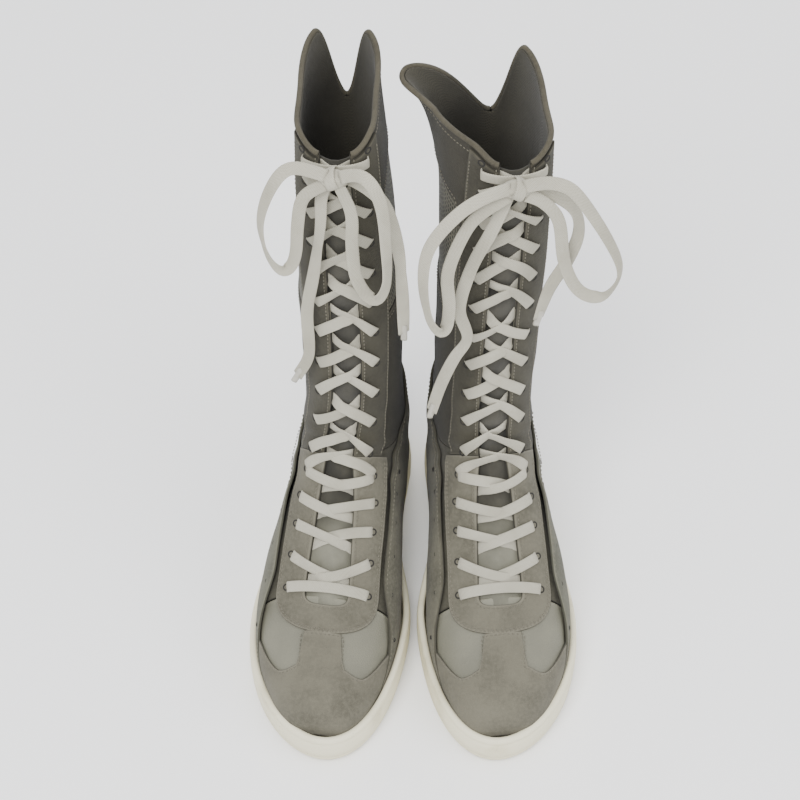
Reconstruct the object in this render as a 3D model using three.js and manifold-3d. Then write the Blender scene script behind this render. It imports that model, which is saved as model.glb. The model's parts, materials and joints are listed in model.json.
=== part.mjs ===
// A pair of tall lace-up boxing boots, in millimetres, with +Z up and the toes toward -Y.
// Each boot is built in its own frame: x runs to the little-toe side, y back from the toe tip, z up.
// The shaft of each boot turns on the foot about a hinge through the ankle.
import * as THREE from "three";
import { mergeVertices } from "three/addons/utils/BufferGeometryUtils.js";
import Module from "manifold-3d";

const wasm = await Module();
wasm.setup();

// ---- Driving sizes -------------------------------------------------------------------------
const footLength = 295;
const ballWidth = 110;
const heelWidth = 72;
const bootHeight = 412;
const shaftDepth = 116; // front to back, halfway up the shaft
const shaftWidth = 62; // side to side, halfway up the shaft
const ankleHeight = 128; // where the instep turns up into the shaft
const ballHeight = 66; // top of the vamp at the ball of the foot
const toeHeight = 47; // top of the toe box
const outsoleThickness = 4;
const sidewallHeight = 28;
const sidewallThickness = 5;
const cupFloor = 4;
const midsoleThickness = 7;
const socklinerThickness = 3;
const leather = 1.5; // thickness of one layer of suede or leather
const liningThickness = 1;
const tongueThickness = 1.9;
const fit = 0.3; // gap left between pieces that touch
const layerGap = 0.4; // gap between layers of the upper
const facet = 0.08; // steps smaller than this are smoothed out of the finished solids
const laceWidth = 8;
const laceThickness = 1.5;
const laceClear = 1.8; // slack between the laces and the eyelet strips
const throatGap = 14; // half the opening between the eyelet edges at the vamp
const shaftGap = 6; // half the opening between the eyelet edges on the shaft
const hingeHeight = 96;
const hingeSetback = 66; // hinge axis forward of the back of the heel
const gussetRadius = 70;
const leanForward = 10; // degrees that the shaft can lean toward the toes
const leanBack = 5; // degrees that it can lean toward the heel
const flexMargin = 1.5; // degrees of clearance past each end of that travel

// ---- Sizes that follow from them -----------------------------------------------------------
const rad = THREE.MathUtils.degToRad;
const lerp = THREE.MathUtils.lerp;
const baseStart = liningThickness + layerGap;
const overlayStart = baseStart + leather + layerGap;
const upperThickness = overlayStart + leather;
// Each layer of the upper: how far it starts outside the skin, and its thickness.
const inside = [-layerGap - tongueThickness, tongueThickness];
const underVamp = [baseStart - layerGap - tongueThickness, tongueThickness];
const lining = [0, liningThickness];
const base = [baseStart, leather];
const overlay = [overlayStart, leather];
const laceOffset = upperThickness + fit;
const upperInset = sidewallThickness + fit + upperThickness + fit;
const midsoleBottom = outsoleThickness + fit + cupFloor + fit;
const footbedHeight = midsoleBottom + midsoleThickness + fit + socklinerThickness;
const soleTop = sidewallHeight + fit;
const heelBack = footLength - upperInset;
const hinge = { y: heelBack - hingeSetback, z: hingeHeight };
const ballPosition = 0.34 * footLength;
const heelRound = 0.17 * footLength;
const shaftAxis = heelBack - 0.5 * shaftDepth;

// Half the width of the sole at a distance y behind the toe tip, on one side (+1 outer, -1 inner).
function soleHalf(y, side) {
  const heelStart = footLength - heelRound;
  if (y < ballPosition) {
    const run = 1 - y / ballPosition;
    return 0.5 * ballWidth * Math.sqrt(Math.max(0, 1 - run * run));
  }
  if (y > heelStart) {
    const run = (y - heelStart) / heelRound;
    return 0.5 * heelWidth * Math.sqrt(Math.max(0, 1 - run * run));
  }
  const t = (y - ballPosition) / (heelStart - ballPosition);
  const blend = 0.5 - 0.5 * Math.cos(Math.PI * t);
  const waist = (side > 0 ? 1 : 7) * Math.sin(Math.PI * t) ** 2;
  return lerp(0.5 * ballWidth, 0.5 * heelWidth, blend) - waist;
}

// The forefoot swings a little toward the big toe.
const inflare = 9;
function soleCentre(y) {
  const run = Math.max(0, 1 - y / ballPosition);
  return -inflare * run * run;
}

// Closed outline of the sole, moved inward by inset.
function soleOutline(inset) {
  const ys = [];
  for (let i = 0; i <= 6; i += 1) ys.push(ballPosition * (1 - Math.cos((Math.PI / 2) * (i / 6))));
  for (let i = 1; i <= 4; i += 1) ys.push(lerp(ballPosition, footLength - heelRound, i / 5));
  for (let i = 0; i <= 5; i += 1) {
    ys.push(footLength - heelRound + heelRound * Math.sin((Math.PI / 2) * (i / 5)));
  }
  const outer = ys.map((y) => new THREE.Vector2(soleCentre(y) + soleHalf(y, 1), y));
  const inner = ys.slice(1, -1).reverse();
  const points = outer.concat(inner.map((y) => new THREE.Vector2(soleCentre(y) - soleHalf(y, -1), y)));
  return points.map((point, i) => {
    const before = points[(i + points.length - 1) % points.length];
    const after = points[(i + 1) % points.length];
    const along = after.clone().sub(before).normalize();
    return new THREE.Vector2(point.x - inset * along.y, point.y + inset * along.x);
  });
}

// ---- The skin: cross-sections from the toe tip, up over the instep, to the top of the shaft ----
// Each section runs from a front point on the throat line to a back point under the sole or behind
// the leg. square is the exponent of the lower half of the section: 2 is round, 5 nearly a box.
const underfoot = outsoleThickness + cupFloor + fit;
const shaftRise = bootHeight - ankleHeight;
const shaftFront = heelBack - shaftDepth;

function footSection(y, height, backY, square) {
  return {
    frontY: y, frontZ: height, backY, backZ: underfoot, centre: soleCentre(y), square,
    outer: soleHalf(y, 1) - upperInset, inner: soleHalf(y, -1) - upperInset,
  };
}

function legSection(frontY, frontZ, backY, backZ, half, square) {
  return { frontY, frontZ, backY, backZ, centre: 0, square, outer: half, inner: half };
}

const shaftFrontSquare = 2.5; // exponent of the front half of the shaft's section
const halfShaft = 0.5 * shaftWidth;
const instep = shaftFront - 15; // where the vamp ends and the leg begins, along the foot
const sections = [
  footSection(0.039 * footLength, 24, 0.039 * footLength, 5),
  footSection(0.054 * footLength, 0.77 * toeHeight, 0.054 * footLength, 5),
  footSection(0.1 * footLength, toeHeight, 0.1 * footLength, 5),
  footSection(0.186 * footLength, lerp(toeHeight, ballHeight, 0.4), 0.186 * footLength, 5),
  footSection(0.3 * footLength, ballHeight, 0.3 * footLength, 5),
  footSection(
    lerp(0.3 * footLength, instep, 0.46), lerp(ballHeight, ankleHeight, 0.36), 0.415 * footLength, 5,
  ),
  legSection(lerp(0.3 * footLength, instep, 0.83), lerp(ballHeight, ankleHeight, 0.73), 0.54 * footLength,
    underfoot, lerp(halfShaft, 0.5 * ballWidth - upperInset, 0.5), 4.5),
  legSection(instep, ankleHeight, 0.72 * footLength, underfoot, halfShaft + 3, 4),
  legSection(instep + 5, ankleHeight + 13, heelBack - 22, underfoot, halfShaft + 1, 3),
  legSection(instep + 8, ankleHeight + 25, heelBack, underfoot + 22, halfShaft, 2.6),
  legSection(instep + 10, ankleHeight + 38, heelBack + 1, hingeHeight - 16, halfShaft - 1, 2.4),
  legSection(instep + 12, ankleHeight + 58, heelBack - 3, ankleHeight - 3, halfShaft - 1.5, 2.3),
  legSection(
    instep + 14, ankleHeight + 0.3 * shaftRise, heelBack - 5,
    ankleHeight + 0.18 * shaftRise, halfShaft - 1, 2.2,
  ),
  legSection(
    shaftFront, ankleHeight + 0.43 * shaftRise, heelBack - 3,
    ankleHeight + 0.395 * shaftRise, halfShaft, 2.2,
  ),
  legSection(
    shaftFront - 1, ankleHeight + 0.64 * shaftRise, heelBack,
    ankleHeight + 0.645 * shaftRise, halfShaft + 0.5, 2.2,
  ),
  legSection(
    shaftFront - 4, ankleHeight + 0.835 * shaftRise, heelBack - 1,
    ankleHeight + 0.845 * shaftRise, halfShaft - 1, 2.2,
  ),
  legSection(shaftFront - 8, bootHeight, heelBack - 4, bootHeight, halfShaft - 4, 2.2),
];
const top = sections.length - 1;
const flareStart = 12.8; // where the shaft begins to spread toward the top
const throatStart = 4; // where the eyelet edges part, counted in sections

function smoothValue(key, s) {
  const i = Math.min(Math.max(Math.floor(s), 0), top - 1);
  const t = s - i;
  const value = (k) => sections[Math.min(Math.max(k, 0), top)][key];
  const [a, b, c, d] = [value(i - 1), value(i), value(i + 1), value(i + 2)];
  return b + 0.5 * t * (c - a + t * (2 * a - 5 * b + 4 * c - d + t * (3 * (b - c) + d - a)));
}

const ramp = (x, from, to) => THREE.MathUtils.smoothstep(x, from, to);

// Point of the skin at section s and angle (0 at the throat line, +-180 at the back, plus is outer).
function skinPoint(boot, s, angle) {
  const turn = rad(Math.abs(angle));
  const c = Math.cos(turn);
  const exponent = 2 / (c < 0 ? smoothValue("square", s) : lerp(2, shaftFrontSquare, ramp(s, 5, 9)));
  const share = 0.5 * (1 - Math.sign(c) * Math.abs(c) ** exponent);
  const wall = angle > 0 ? "outer" : "inner";
  const rise = Math.max(0, (s - flareStart) / (top - flareStart));
  const narrow = 1 - boot.pinch[wall] * Math.min(1, rise) * ramp(turn, 0.4, 1.6);
  const reach = narrow * Math.abs(Math.sin(turn)) ** exponent;
  const half = smoothValue(wall, s);
  // Each flap swings out like a door hung at the throat, so it spreads most near the back.
  const swing = Math.sin(Math.PI * Math.min(1, Math.abs(angle) / 180) ** 3) * rise ** 2.5;
  const flare = boot.flare[wall] * swing;
  const lean = boot.lean * ramp(s, 9, top) ** 2;
  const x = smoothValue("centre", s) + Math.sign(angle) * (half * reach + flare);
  const slump = ramp(s, 11, top);
  const front = smoothValue("frontY", s) + boot.settle.front * slump;
  const back = smoothValue("backY", s) + boot.settle.back * slump;
  const y = lerp(front, back, share) - 0.3 * flare;
  const z = lerp(smoothValue("frontZ", s), smoothValue("backZ", s), share);
  const twist = rad(boot.twist) * ramp(s, 8, 13);
  const fromAxis = y - shaftAxis;
  return new THREE.Vector3(
    x * Math.cos(twist) - fromAxis * Math.sin(twist) + lean,
    shaftAxis + x * Math.sin(twist) + fromAxis * Math.cos(twist),
    z,
  );
}

// The same point moved out along the skin's normal.
function skin(boot, s, angle, offset) {
  const step = 0.02;
  const along = skinPoint(boot, s + step, angle).sub(skinPoint(boot, s - step, angle));
  const around = skinPoint(boot, s, angle + 100 * step).sub(skinPoint(boot, s, angle - 100 * step));
  const normal = around.cross(along).normalize();
  return skinPoint(boot, s, angle).addScaledVector(normal, offset);
}

// Angle of the eyelet edge: wide at the vamp, narrow on the shaft.
function throatAngle(s) {
  const half = lerp(throatGap, shaftGap, ramp(s, throatStart, 8));
  return THREE.MathUtils.radToDeg(Math.asin(half / smoothValue("outer", s)));
}

// ---- Solids --------------------------------------------------------------------------------
const cutOut = 11; // how far a panel's cutting block reaches outside and inside the skin
const cutIn = 6;

function solid(geometry) {
  geometry.deleteAttribute("normal");
  geometry.deleteAttribute("uv");
  const merged = mergeVertices(geometry, 1e-4);
  return new wasm.Manifold(new wasm.Mesh({
    numProp: 3,
    vertProperties: new Float32Array(merged.attributes.position.array),
    triVerts: new Uint32Array(merged.index.array),
  }));
}

// Closed solid between two grids of points, outer and inner, which are rows of equal length.
// flips(i, j) says which squares are split along their other diagonal.
function slab(outer, inner, closed, flips = () => false) {
  const rows = outer.length - 1;
  const columns = outer[0].length - 1;
  const layer = (rows + 1) * (columns + 1);
  const id = (i, j, side) => side * layer + i * (columns + 1) + (closed ? j % columns : j);
  const faces = [];
  const quad = (a, b, c, d) => faces.push(a, b, c, c, b, d);
  for (let i = 0; i < rows; i += 1) {
    for (let j = 0; j < columns; j += 1) {
      const [a, b, c, d] = [id(i, j, 0), id(i, j + 1, 0), id(i + 1, j, 0), id(i + 1, j + 1, 0)];
      const halves = flips(i, j) ? [[a, b, d], [a, d, c]] : [[a, b, c], [c, b, d]];
      for (const [p, q, r] of halves) faces.push(p, q, r, p + layer, r + layer, q + layer);
    }
    if (!closed) {
      quad(id(i, 0, 1), id(i, 0, 0), id(i + 1, 0, 1), id(i + 1, 0, 0));
      quad(id(i, columns, 0), id(i, columns, 1), id(i + 1, columns, 0), id(i + 1, columns, 1));
    }
  }
  for (let j = 0; j < columns; j += 1) {
    quad(id(0, j, 1), id(0, j + 1, 1), id(0, j, 0), id(0, j + 1, 0));
    quad(id(rows, j, 0), id(rows, j + 1, 0), id(rows, j, 1), id(rows, j + 1, 1));
  }
  const positions = [...outer, ...inner].flat().flatMap((point) => point.toArray());
  const geometry = new THREE.BufferGeometry();
  geometry.setAttribute("position", new THREE.Float32BufferAttribute(positions, 3));
  geometry.setIndex(faces);
  return solid(geometry);
}

// Every layer of the upper is drawn on one net, so the layers stay parallel. A place on the net is
// a section s and a column: 0 is the throat line, 1 the eyelet edge, 10 the back seam, and minus
// is the inner side. Columns past 10 come back round on the inner side.
const netRows = [0, 0.6, 1.3, 2, 3, 4, 5, 6, 7, 8, 9, 10, 11, 12, 13, 14, 14.6, top];
const calfSeam = 13;
const collarSeam = 14.6;
const netShares = [0, 0.1, 0.2, 0.32, 0.44, 0.56, 0.68, 0.8, 0.91, 1];
const backColumn = netShares.length;

function columnAngle(s, column) {
  const turned = column > backColumn ? column - 2 * backColumn : column;
  const c = Math.abs(turned);
  const edge = throatAngle(s);
  if (c < 1) return Math.sign(turned) * c * edge;
  const k = Math.min(Math.floor(c), backColumn - 1);
  const share = lerp(netShares[k - 1], netShares[k], c - k);
  return Math.sign(turned) * lerp(edge, 180, share);
}

function netPoint(boot, s, column, depth) {
  const i = Math.max(0, netRows.findLastIndex((row) => row <= s && row < top));
  const j = Math.floor(column);
  const [p, q] = [(s - netRows[i]) / (netRows[i + 1] - netRows[i]), column - j];
  const corner = (di, dj) => {
    const row = netRows[i + di];
    const angle = columnAngle(row, j + dj);
    return skin(boot, row, angle + (Math.abs(angle) < 1e-6 ? 0.01 : 0), depth);
  };
  const low = q === 0 ? corner(0, 0) : corner(0, 0).lerp(corner(0, 1), q);
  if (p === 0) return low;
  const high = q === 0 ? corner(1, 0) : corner(1, 0).lerp(corner(1, 1), q);
  return low.lerp(high, p);
}

function between(values, from, to) {
  const margin = 0.1;
  if (to - from < margin) return [from];
  return [from, ...values.filter((value) => value > from + margin && value < to - margin), to];
}

// Piece of one layer between two sections and two columns. The last section may be a function of
// the column. Each square is split along the diagonal that stands further out.
function layerPiece(boot, [offset, thickness], [from, to], [first, last], closed = false) {
  const whole = Array.from({ length: 4 * backColumn }, (_, k) => k - 2 * backColumn);
  const columns = between(whole, first, last);
  const rows = (column) => {
    if (typeof to !== "function") return between(netRows, from, to);
    return [...between(netRows, from, collarSeam), to(column)];
  };
  const count = rows(first).length;
  const grid = (depth) => Array.from({ length: count }, (_, i) => columns.map((column) => (
    netPoint(boot, rows(column)[i], column, depth)
  )));
  const [net, above] = [grid(0), grid(1)];
  const flips = (i, j) => {
    const outward = above[i][j].clone().sub(net[i][j]);
    const oneWay = net[i][j].clone().add(net[i + 1][j + 1]);
    return oneWay.sub(net[i][j + 1]).sub(net[i + 1][j]).dot(outward) > 0;
  };
  return slab(grid(offset + thickness), grid(offset), closed, flips);
}

// Piece cut from the overlay between two edges each way: a number, or a function of the fraction
// along that edge.
function overlayPiece(boot, sEdges, aEdges, rows, columns) {
  const at = (edge, t) => (typeof edge === "function" ? edge(t) : edge);
  const grid = (depth) => Array.from({ length: rows + 1 }, (_, i) => (
    Array.from({ length: columns + 1 }, (__, j) => {
      const [p, q] = [i / rows, j / columns];
      const s = lerp(at(sEdges[0], q), at(sEdges[1], q), p);
      return skin(boot, s, lerp(at(aEdges[0], p), at(aEdges[1], p), q), depth);
    })
  ));
  return boot.overlay.intersect(slab(grid(cutOut), grid(-cutIn), false));
}

// Flat plate with the outline of the sole, moved in by inset, between two heights.
function solePlate(inset, low, high) {
  const geometry = new THREE.ExtrudeGeometry(new THREE.Shape(soleOutline(inset)), {
    depth: high - low, bevelEnabled: false, curveSegments: 1,
  });
  geometry.translate(0, 0, low);
  return solid(geometry);
}

// Prism across the whole boot from a side-view outline of [y, z] points.
const reachAcross = 150;
function sidePrism(points) {
  const shape = new THREE.Shape(points.map(([y, z]) => new THREE.Vector2(y, z)));
  const geometry = new THREE.ExtrudeGeometry(shape, { depth: 2 * reachAcross, bevelEnabled: false });
  const axes = new THREE.Matrix4().makeBasis(
    new THREE.Vector3(0, 1, 0), new THREE.Vector3(0, 0, 1), new THREE.Vector3(1, 0, 0),
  );
  geometry.applyMatrix4(axes.setPosition(-reachAcross, 0, 0));
  return solid(geometry);
}

// Everything above the ankle: outside a circle about the hinge, between two angles from +Y.
function aboveAnkle(radius, backAngle, frontAngle) {
  const far = 4 * bootHeight;
  const ray = (angle, length) => [
    hinge.y + length * Math.cos(rad(angle)), hinge.z + length * Math.sin(rad(angle)),
  ];
  const points = [];
  for (let i = 0; i <= 14; i += 1) points.push(ray(lerp(backAngle, frontAngle, i / 14), radius));
  points.push(ray(frontAngle, far));
  points.push([hinge.y, far]);
  points.push(ray(backAngle, far));
  return sidePrism(points.reverse());
}

const creaseAngle = 180 - THREE.MathUtils.radToDeg(Math.atan2(ankleHeight - hinge.z, hinge.y - instep));
const heelAngle = 12;
const footLimit = aboveAnkle(gussetRadius, heelAngle, creaseAngle);
const shaftRegion = aboveAnkle(
  gussetRadius + 1, heelAngle + leanBack + flexMargin, creaseAngle - leanForward - flexMargin,
);
const cupOuter = solePlate(-1, -1, soleTop + fit);
const cupInner = solePlate(sidewallThickness + fit, outsoleThickness + fit + cupFloor + fit, soleTop + 1);
const cupKeepOut = cupOuter.subtract(cupInner);
const stackKeepOut = solePlate(upperInset + 0.2, 0, footbedHeight + fit);

function largest(piece) {
  return piece.decompose().reduce((best, next) => (next.volume() > best.volume() ? next : best));
}

const onFoot = (piece) => largest(piece.subtract(footLimit).subtract(cupKeepOut).subtract(stackKeepOut));
const onShaft = (piece) => largest(piece.intersect(shaftRegion));

// ---- Sole ----------------------------------------------------------------------------------
const makeOutsole = () => solePlate(2, 0, outsoleThickness);

function makeCupsole() {
  const bottom = outsoleThickness + fit;
  const wall = solePlate(0, bottom, soleTop);
  return wall.subtract(solePlate(sidewallThickness, bottom + cupFloor, soleTop + 5));
}

const bedInset = upperInset + 0.2 + fit;
const makeMidsole = () => solePlate(bedInset, midsoleBottom, midsoleBottom + midsoleThickness);

function makeSockliner() {
  const bottom = midsoleBottom + midsoleThickness + fit;
  return solePlate(bedInset, bottom, bottom + socklinerThickness);
}

// ---- Foot upper ----------------------------------------------------------------------------
const halfSeam = 0.03; // half the gap at the back seam, in columns
const wrapUnder = 150; // angle at which the upper has passed below the top of the sole
const backSeam = 179.2;

const makeVamp = (boot) => onFoot(layerPiece(boot, base, [0, throatStart - 0.02], [-8, 8]));

// The toe cap's back edge rises to a broad tab in the middle, between two windows of vamp leather.
function makeToeCap(boot) {
  const backEdge = (q) => {
    const across = Math.abs(2 * q - 1);
    return 2.62 + 0.62 * (1 - ramp(across, 0.16, 0.3)) - 0.12 * across;
  };
  return onFoot(overlayPiece(boot, [0, backEdge], [-wrapUnder, wrapUnder], 3, 14));
}

const eyeletBand = 19; // width of the eyelet strip on each side of the throat
function bandAngle(s) {
  const half = lerp(throatGap, shaftGap, ramp(s, throatStart, 8)) + eyeletBand;
  return THREE.MathUtils.radToDeg(Math.asin(Math.min(0.95, half / smoothValue("outer", s))));
}

// Apron with an arm up each side of the throat, carrying the eyelets of the foot.
function makeApron(boot) {
  const armEnd = 7.6;
  const front = (q) => throatStart - 0.3 - 0.34 * Math.cos(Math.PI * (q - 0.5));
  const width = bandAngle(throatStart);
  let piece = overlayPiece(boot, [front, throatStart], [-width, width], 2, 8);
  for (const side of [1, -1]) {
    const sAt = (p) => lerp(throatStart - 0.1, armEnd, p);
    const edge = (p) => side * throatAngle(sAt(p));
    const outerEdge = (p) => side * bandAngle(sAt(p));
    const edges = side > 0 ? [edge, outerEdge] : [outerEdge, edge];
    piece = piece.add(overlayPiece(boot, [throatStart - 0.1, armEnd], edges, 4, 1));
  }
  return onFoot(piece);
}

const makeTongueLower = (boot) => onFoot(layerPiece(boot, underVamp, [throatStart - 0.3, 8], [-2, 2]));
const makeTongueUpper = (boot) => onShaft(layerPiece(boot, inside, [7, top - 0.5], [-2, 2]));

// The same span of columns on the outer (+1) or inner (-1) side.
const span = (side, from, to) => (side > 0 ? [from, to] : [-to, -from]);
// Order two edges so that the angle always grows across the piece.
const sorted = (side, near, far) => (side > 0 ? [near, far] : [far, near]);

const makeQuarter = (boot, side) => (
  onFoot(layerPiece(boot, base, [throatStart + 0.02, 11], span(side, 1, backColumn - halfSeam)))
);

// Outer quarter: a low outer wall whose free front edge stands clear of the eyelet strip.
function makeOuterQuarter(boot, side) {
  const [from, to] = [2.75, 11.2];
  const sAt = (p) => lerp(from, to, p);
  const near = (p) => {
    const s = sAt(p);
    return side * (lerp(92, bandAngle(Math.min(s, 7.5)) + 4, ramp(s, 2.4, 5.2)));
  };
  const edges = sorted(side, near, side * backSeam);
  return onFoot(overlayPiece(boot, [from, to], edges, 5, 4));
}

const makeHeelCounter = (boot) => onFoot(layerPiece(boot, underVamp, [8, 10.2], [7, 13]));

// ---- Shaft ---------------------------------------------------------------------------------
// The top edge has a notch at the back between two rear peaks, and dips a little at the front.
const notchDepth = 1.35;
function collarTop(angle) {
  const a = Math.abs(angle);
  const notch = notchDepth * ramp(a, 148, 180);
  return top - notch - 0.12 * (1 - ramp(a, 10, 60)) - 0.2 * Math.sin(Math.PI * Math.min(1, a / 148));
}

const toTop = (lower) => (column) => collarTop(Math.abs(columnAngle(top, column))) - lower;

const makeCalfPanel = (boot, side) => (
  onShaft(layerPiece(boot, base, [7, calfSeam - 0.01], span(side, 1, backColumn - halfSeam)))
);
const makeMeshPanel = (boot, side) => (
  layerPiece(boot, base, [calfSeam, collarSeam - 0.01], span(side, 1, backColumn - halfSeam))
);
const makeCollar = (boot, side) => (
  layerPiece(boot, base, [collarSeam, toTop(0)], span(side, 1, backColumn - halfSeam))
);
const makeShaftLining = (boot) => (
  onShaft(layerPiece(boot, lining, [7, toTop(0.03)], [1, 2 * backColumn - 1]))
);

// Eyelet strip of the shaft, laid over the panels.
const makeFacing = (boot, side) => (
  onShaft(layerPiece(boot, overlay, [7, toTop(0.1)], span(side, 1, 3)))
);
const makeBackStrip = (boot) => (
  onShaft(layerPiece(boot, overlay, [7, toTop(0.03)], [backColumn - 1, backColumn + 1]))
);

// ---- Laces ---------------------------------------------------------------------------------
// Flat strip through points, with its broad face square to the given directions.
function strip(points, faces) {
  const positions = [];
  points.forEach((point, i) => {
    const before = points[Math.max(i - 1, 0)];
    const after = points[Math.min(i + 1, points.length - 1)];
    const along = after.clone().sub(before).normalize();
    const across = faces[i].clone().cross(along).normalize().multiplyScalar(0.5 * laceWidth);
    const up = faces[i].clone().normalize().multiplyScalar(0.5 * laceThickness);
    for (const [p, q] of [[-1, -1], [1, -1], [1, 1], [-1, 1]]) {
      positions.push(...point.clone().addScaledVector(across, p).addScaledVector(up, q).toArray());
    }
  });
  const faceList = [0, 2, 1, 0, 3, 2];
  for (let i = 0; i < points.length - 1; i += 1) {
    for (let k = 0; k < 4; k += 1) {
      const [a, b] = [4 * i + k, 4 * i + ((k + 1) % 4)];
      faceList.push(a, b, a + 4, a + 4, b, b + 4);
    }
  }
  const end = 4 * (points.length - 1);
  faceList.push(end, end + 1, end + 2, end, end + 2, end + 3);
  const geometry = new THREE.BufferGeometry();
  geometry.setAttribute("position", new THREE.Float32BufferAttribute(positions, 3));
  geometry.setIndex(faceList);
  return solid(geometry);
}

// A strand that crosses from one side to the other at each row, lying over the eyelet strips.
const eyeletShare = 0.62; // place of the eyelets across the eyelet strip
const crossings = 6; // straight pieces from one eyelet to the next
function strand(boot, rows, firstSide) {
  const points = [];
  const faces = [];
  const place = (s, angle) => {
    const point = skin(boot, s, angle, laceOffset + laceClear + 0.5 * laceThickness);
    points.push(point);
    faces.push(skin(boot, s, angle, laceOffset + 10).sub(point));
  };
  rows.forEach((s, i) => {
    const side = firstSide * (i % 2 === 0 ? 1 : -1);
    const reach = (at) => lerp(throatAngle(at), bandAngle(at), eyeletShare);
    place(s, side * reach(s));
    if (i === rows.length - 1) return;
    for (let k = 1; k < crossings; k += 1) {
      const t = k / crossings;
      const at = lerp(s, rows[i + 1], t);
      place(at, side * reach(at) * (1 - 2 * t) + 0.01);
    }
  });
  return strip(points, faces);
}

// Sections of count rows at even heights up the front of the boot.
function rowsBetween(from, to, count) {
  const [low, high] = [smoothValue("frontZ", from), smoothValue("frontZ", to)];
  return Array.from({ length: count }, (_, i) => {
    const height = lerp(low, high, i / (count - 1));
    let [below, above] = [from, to];
    for (let k = 0; k < 24; k += 1) {
      const middle = 0.5 * (below + above);
      if (smoothValue("frontZ", middle) < height) below = middle;
      else above = middle;
    }
    return below;
  });
}

// Straight bar from eyelet to eyelet.
function bar(boot, s) {
  const reach = lerp(throatAngle(s), bandAngle(s), eyeletShare);
  const depth = laceOffset + laceClear + 0.5 * laceThickness;
  const spots = [-1, -0.5, 0, 0.5, 1].map((t) => t * reach + 0.01);
  const points = spots.map((angle) => skin(boot, s, angle, depth));
  return strip(points, spots.map((angle, i) => skin(boot, s, angle, depth + 10).sub(points[i])));
}

// The foot's laces start with a bar across the bottom of the throat.
function makeFootLace(boot) {
  const rows = rowsBetween(throatStart + 0.22, 7.0, 5);
  return onFoot(bar(boot, rows[0]).add(strand(boot, rows, 1)).add(strand(boot, rows, -1)));
}

const knotSize = { across: 17, deep: 16, tall: 13 };
const knotSection = 15.45;
function knotCentre(boot) {
  return skin(boot, knotSection, 0.01, laceOffset + laceThickness + 0.5 * knotSize.deep - 1);
}

// The bow's knot is one egg-shaped lump that reaches back to the laces.
function knotSolid(boot, clearance) {
  const knot = new THREE.SphereGeometry(0.5, 12, 8);
  const grown = 2 * clearance;
  knot.scale(knotSize.across + grown, knotSize.deep + grown, knotSize.tall + grown);
  knot.translate(...knotCentre(boot).toArray());
  return solid(knot);
}

// The shaft's laces end in a bar that carries the knot.
function makeShaftLace(boot) {
  const rows = rowsBetween(9.35, knotSection, 9);
  const strands = strand(boot, rows, 1).add(strand(boot, rows, -1));
  return onShaft(strands.add(bar(boot, knotSection)).add(knotSolid(boot, 0)));
}

// Free lace of a bow: an eight-sided flat section along the chosen points, measured from the knot.
function makeFreeLace(boot, route, steps) {
  const knot = knotCentre(boot);
  const path = new THREE.CatmullRomCurve3(
    route.map(([x, y, z]) => new THREE.Vector3(x, y, z).add(knot)), false, "centripetal",
  );
  const half = 0.5 * laceWidth * 0.6;
  const section = new THREE.Shape();
  for (let k = 0; k < 8; k += 1) {
    const angle = ((k + 0.5) / 8) * 2 * Math.PI;
    section[k === 0 ? "moveTo" : "lineTo"](half * 0.5 * Math.cos(angle), half * Math.sin(angle));
  }
  const geometry = new THREE.ExtrudeGeometry(section, { steps, bevelEnabled: false, extrudePath: path });
  return largest(solid(geometry).subtract(knotSolid(boot, fit)));
}

// ---- The two boots -------------------------------------------------------------------------
// side is +1 for the boot on +X. lean is how far the top of the shaft stands outward, twist how many
// degrees it turns, pinch the share by which each wall is drawn in at the top, flare how far each
// flap of the collar swings out, and settle how far the front and the back of the top have sagged
// toward the heel (+) or the toes (-). Routes run from the knot: x outward, y back, z up.
const boots = [
  {
    name: "right",
    side: -1,
    x: -49,
    toeOut: 8,
    twist: -6,
    lean: 6,
    flare: { outer: 5, inner: 5 },
    pinch: { outer: 0.33, inner: 0.33 },
    settle: { front: 17, back: -5 },
    outerLoop: [[4, -3, 4], [13, -4, 8], [26, -8, 12], [37, -13, -5], [43, -14, -32],
      [39, -13, -60],
      [30, -10, -74], [24, -7, -62], [22, -5, -36], [18, -4, -14], [5, -3, -3]],
    innerLoop: [[-4, -3, 4], [-12, -5, 9], [-21, -9, 11], [-30, -14, -4], [-33, -16, -36],
      [-33, -15, -70],
      [-25, -12, -90], [-14, -9, -76], [-11, -7, -48], [-11, -6, -22], [-4, -4, -3]],
    outerTail: [[3, 3, -3], [8, 1, -16], [9, -1, -40], [14, -1, -80], [20, 0, -120],
      [20, 0, -160], [28, -1, -181]],
    innerTail: [[-4, 3, -1], [-15, 2, -4], [-30, 0, -18], [-38, -2, -50], [-41, -3, -88],
      [-42, -3, -126]],
  },
  {
    name: "left",
    side: 1,
    x: 56,
    toeOut: 5,
    twist: 0,
    lean: 6,
    flare: { outer: 4, inner: 42 },
    pinch: { outer: 0.33, inner: 0 },
    settle: { front: 8, back: -22 },
    outerLoop: [[4, -3, 4], [13, -5, 8], [22, -7, 9], [33, -11, 4], [54, -16, -32], [63, -17, -60],
      [54, -15, -82], [40, -12, -79], [30, -9, -56], [25, -6, -22], [14, -4, -7], [5, -3, -3]],
    innerLoop: [[-4, -3, 3], [-16, -5, 1], [-34, -9, -8], [-52, -14, -30], [-56, -16, -60],
      [-51, -15, -95],
      [-42, -12, -109], [-39, -10, -88], [-40, -8, -58], [-28, -6, -22], [-14, -4, -9],
      [-5, -3, -3]],
    outerTail: [[4, 3, -1], [15, 2, -4], [34, 0, -18], [39, 0, -40], [33, -1, -64],
      [24, -2, -84], [18, -2, -112]],
    innerTail: [[-3, 3, -3], [-7, 1, -14], [-14, -1, -34], [-25, -2, -62], [-32, -3, -98],
      [-26, -4, -124],
      [-34, -4, -142], [-42, -3, -168], [-48, -3, -195]],
  },
];

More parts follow.
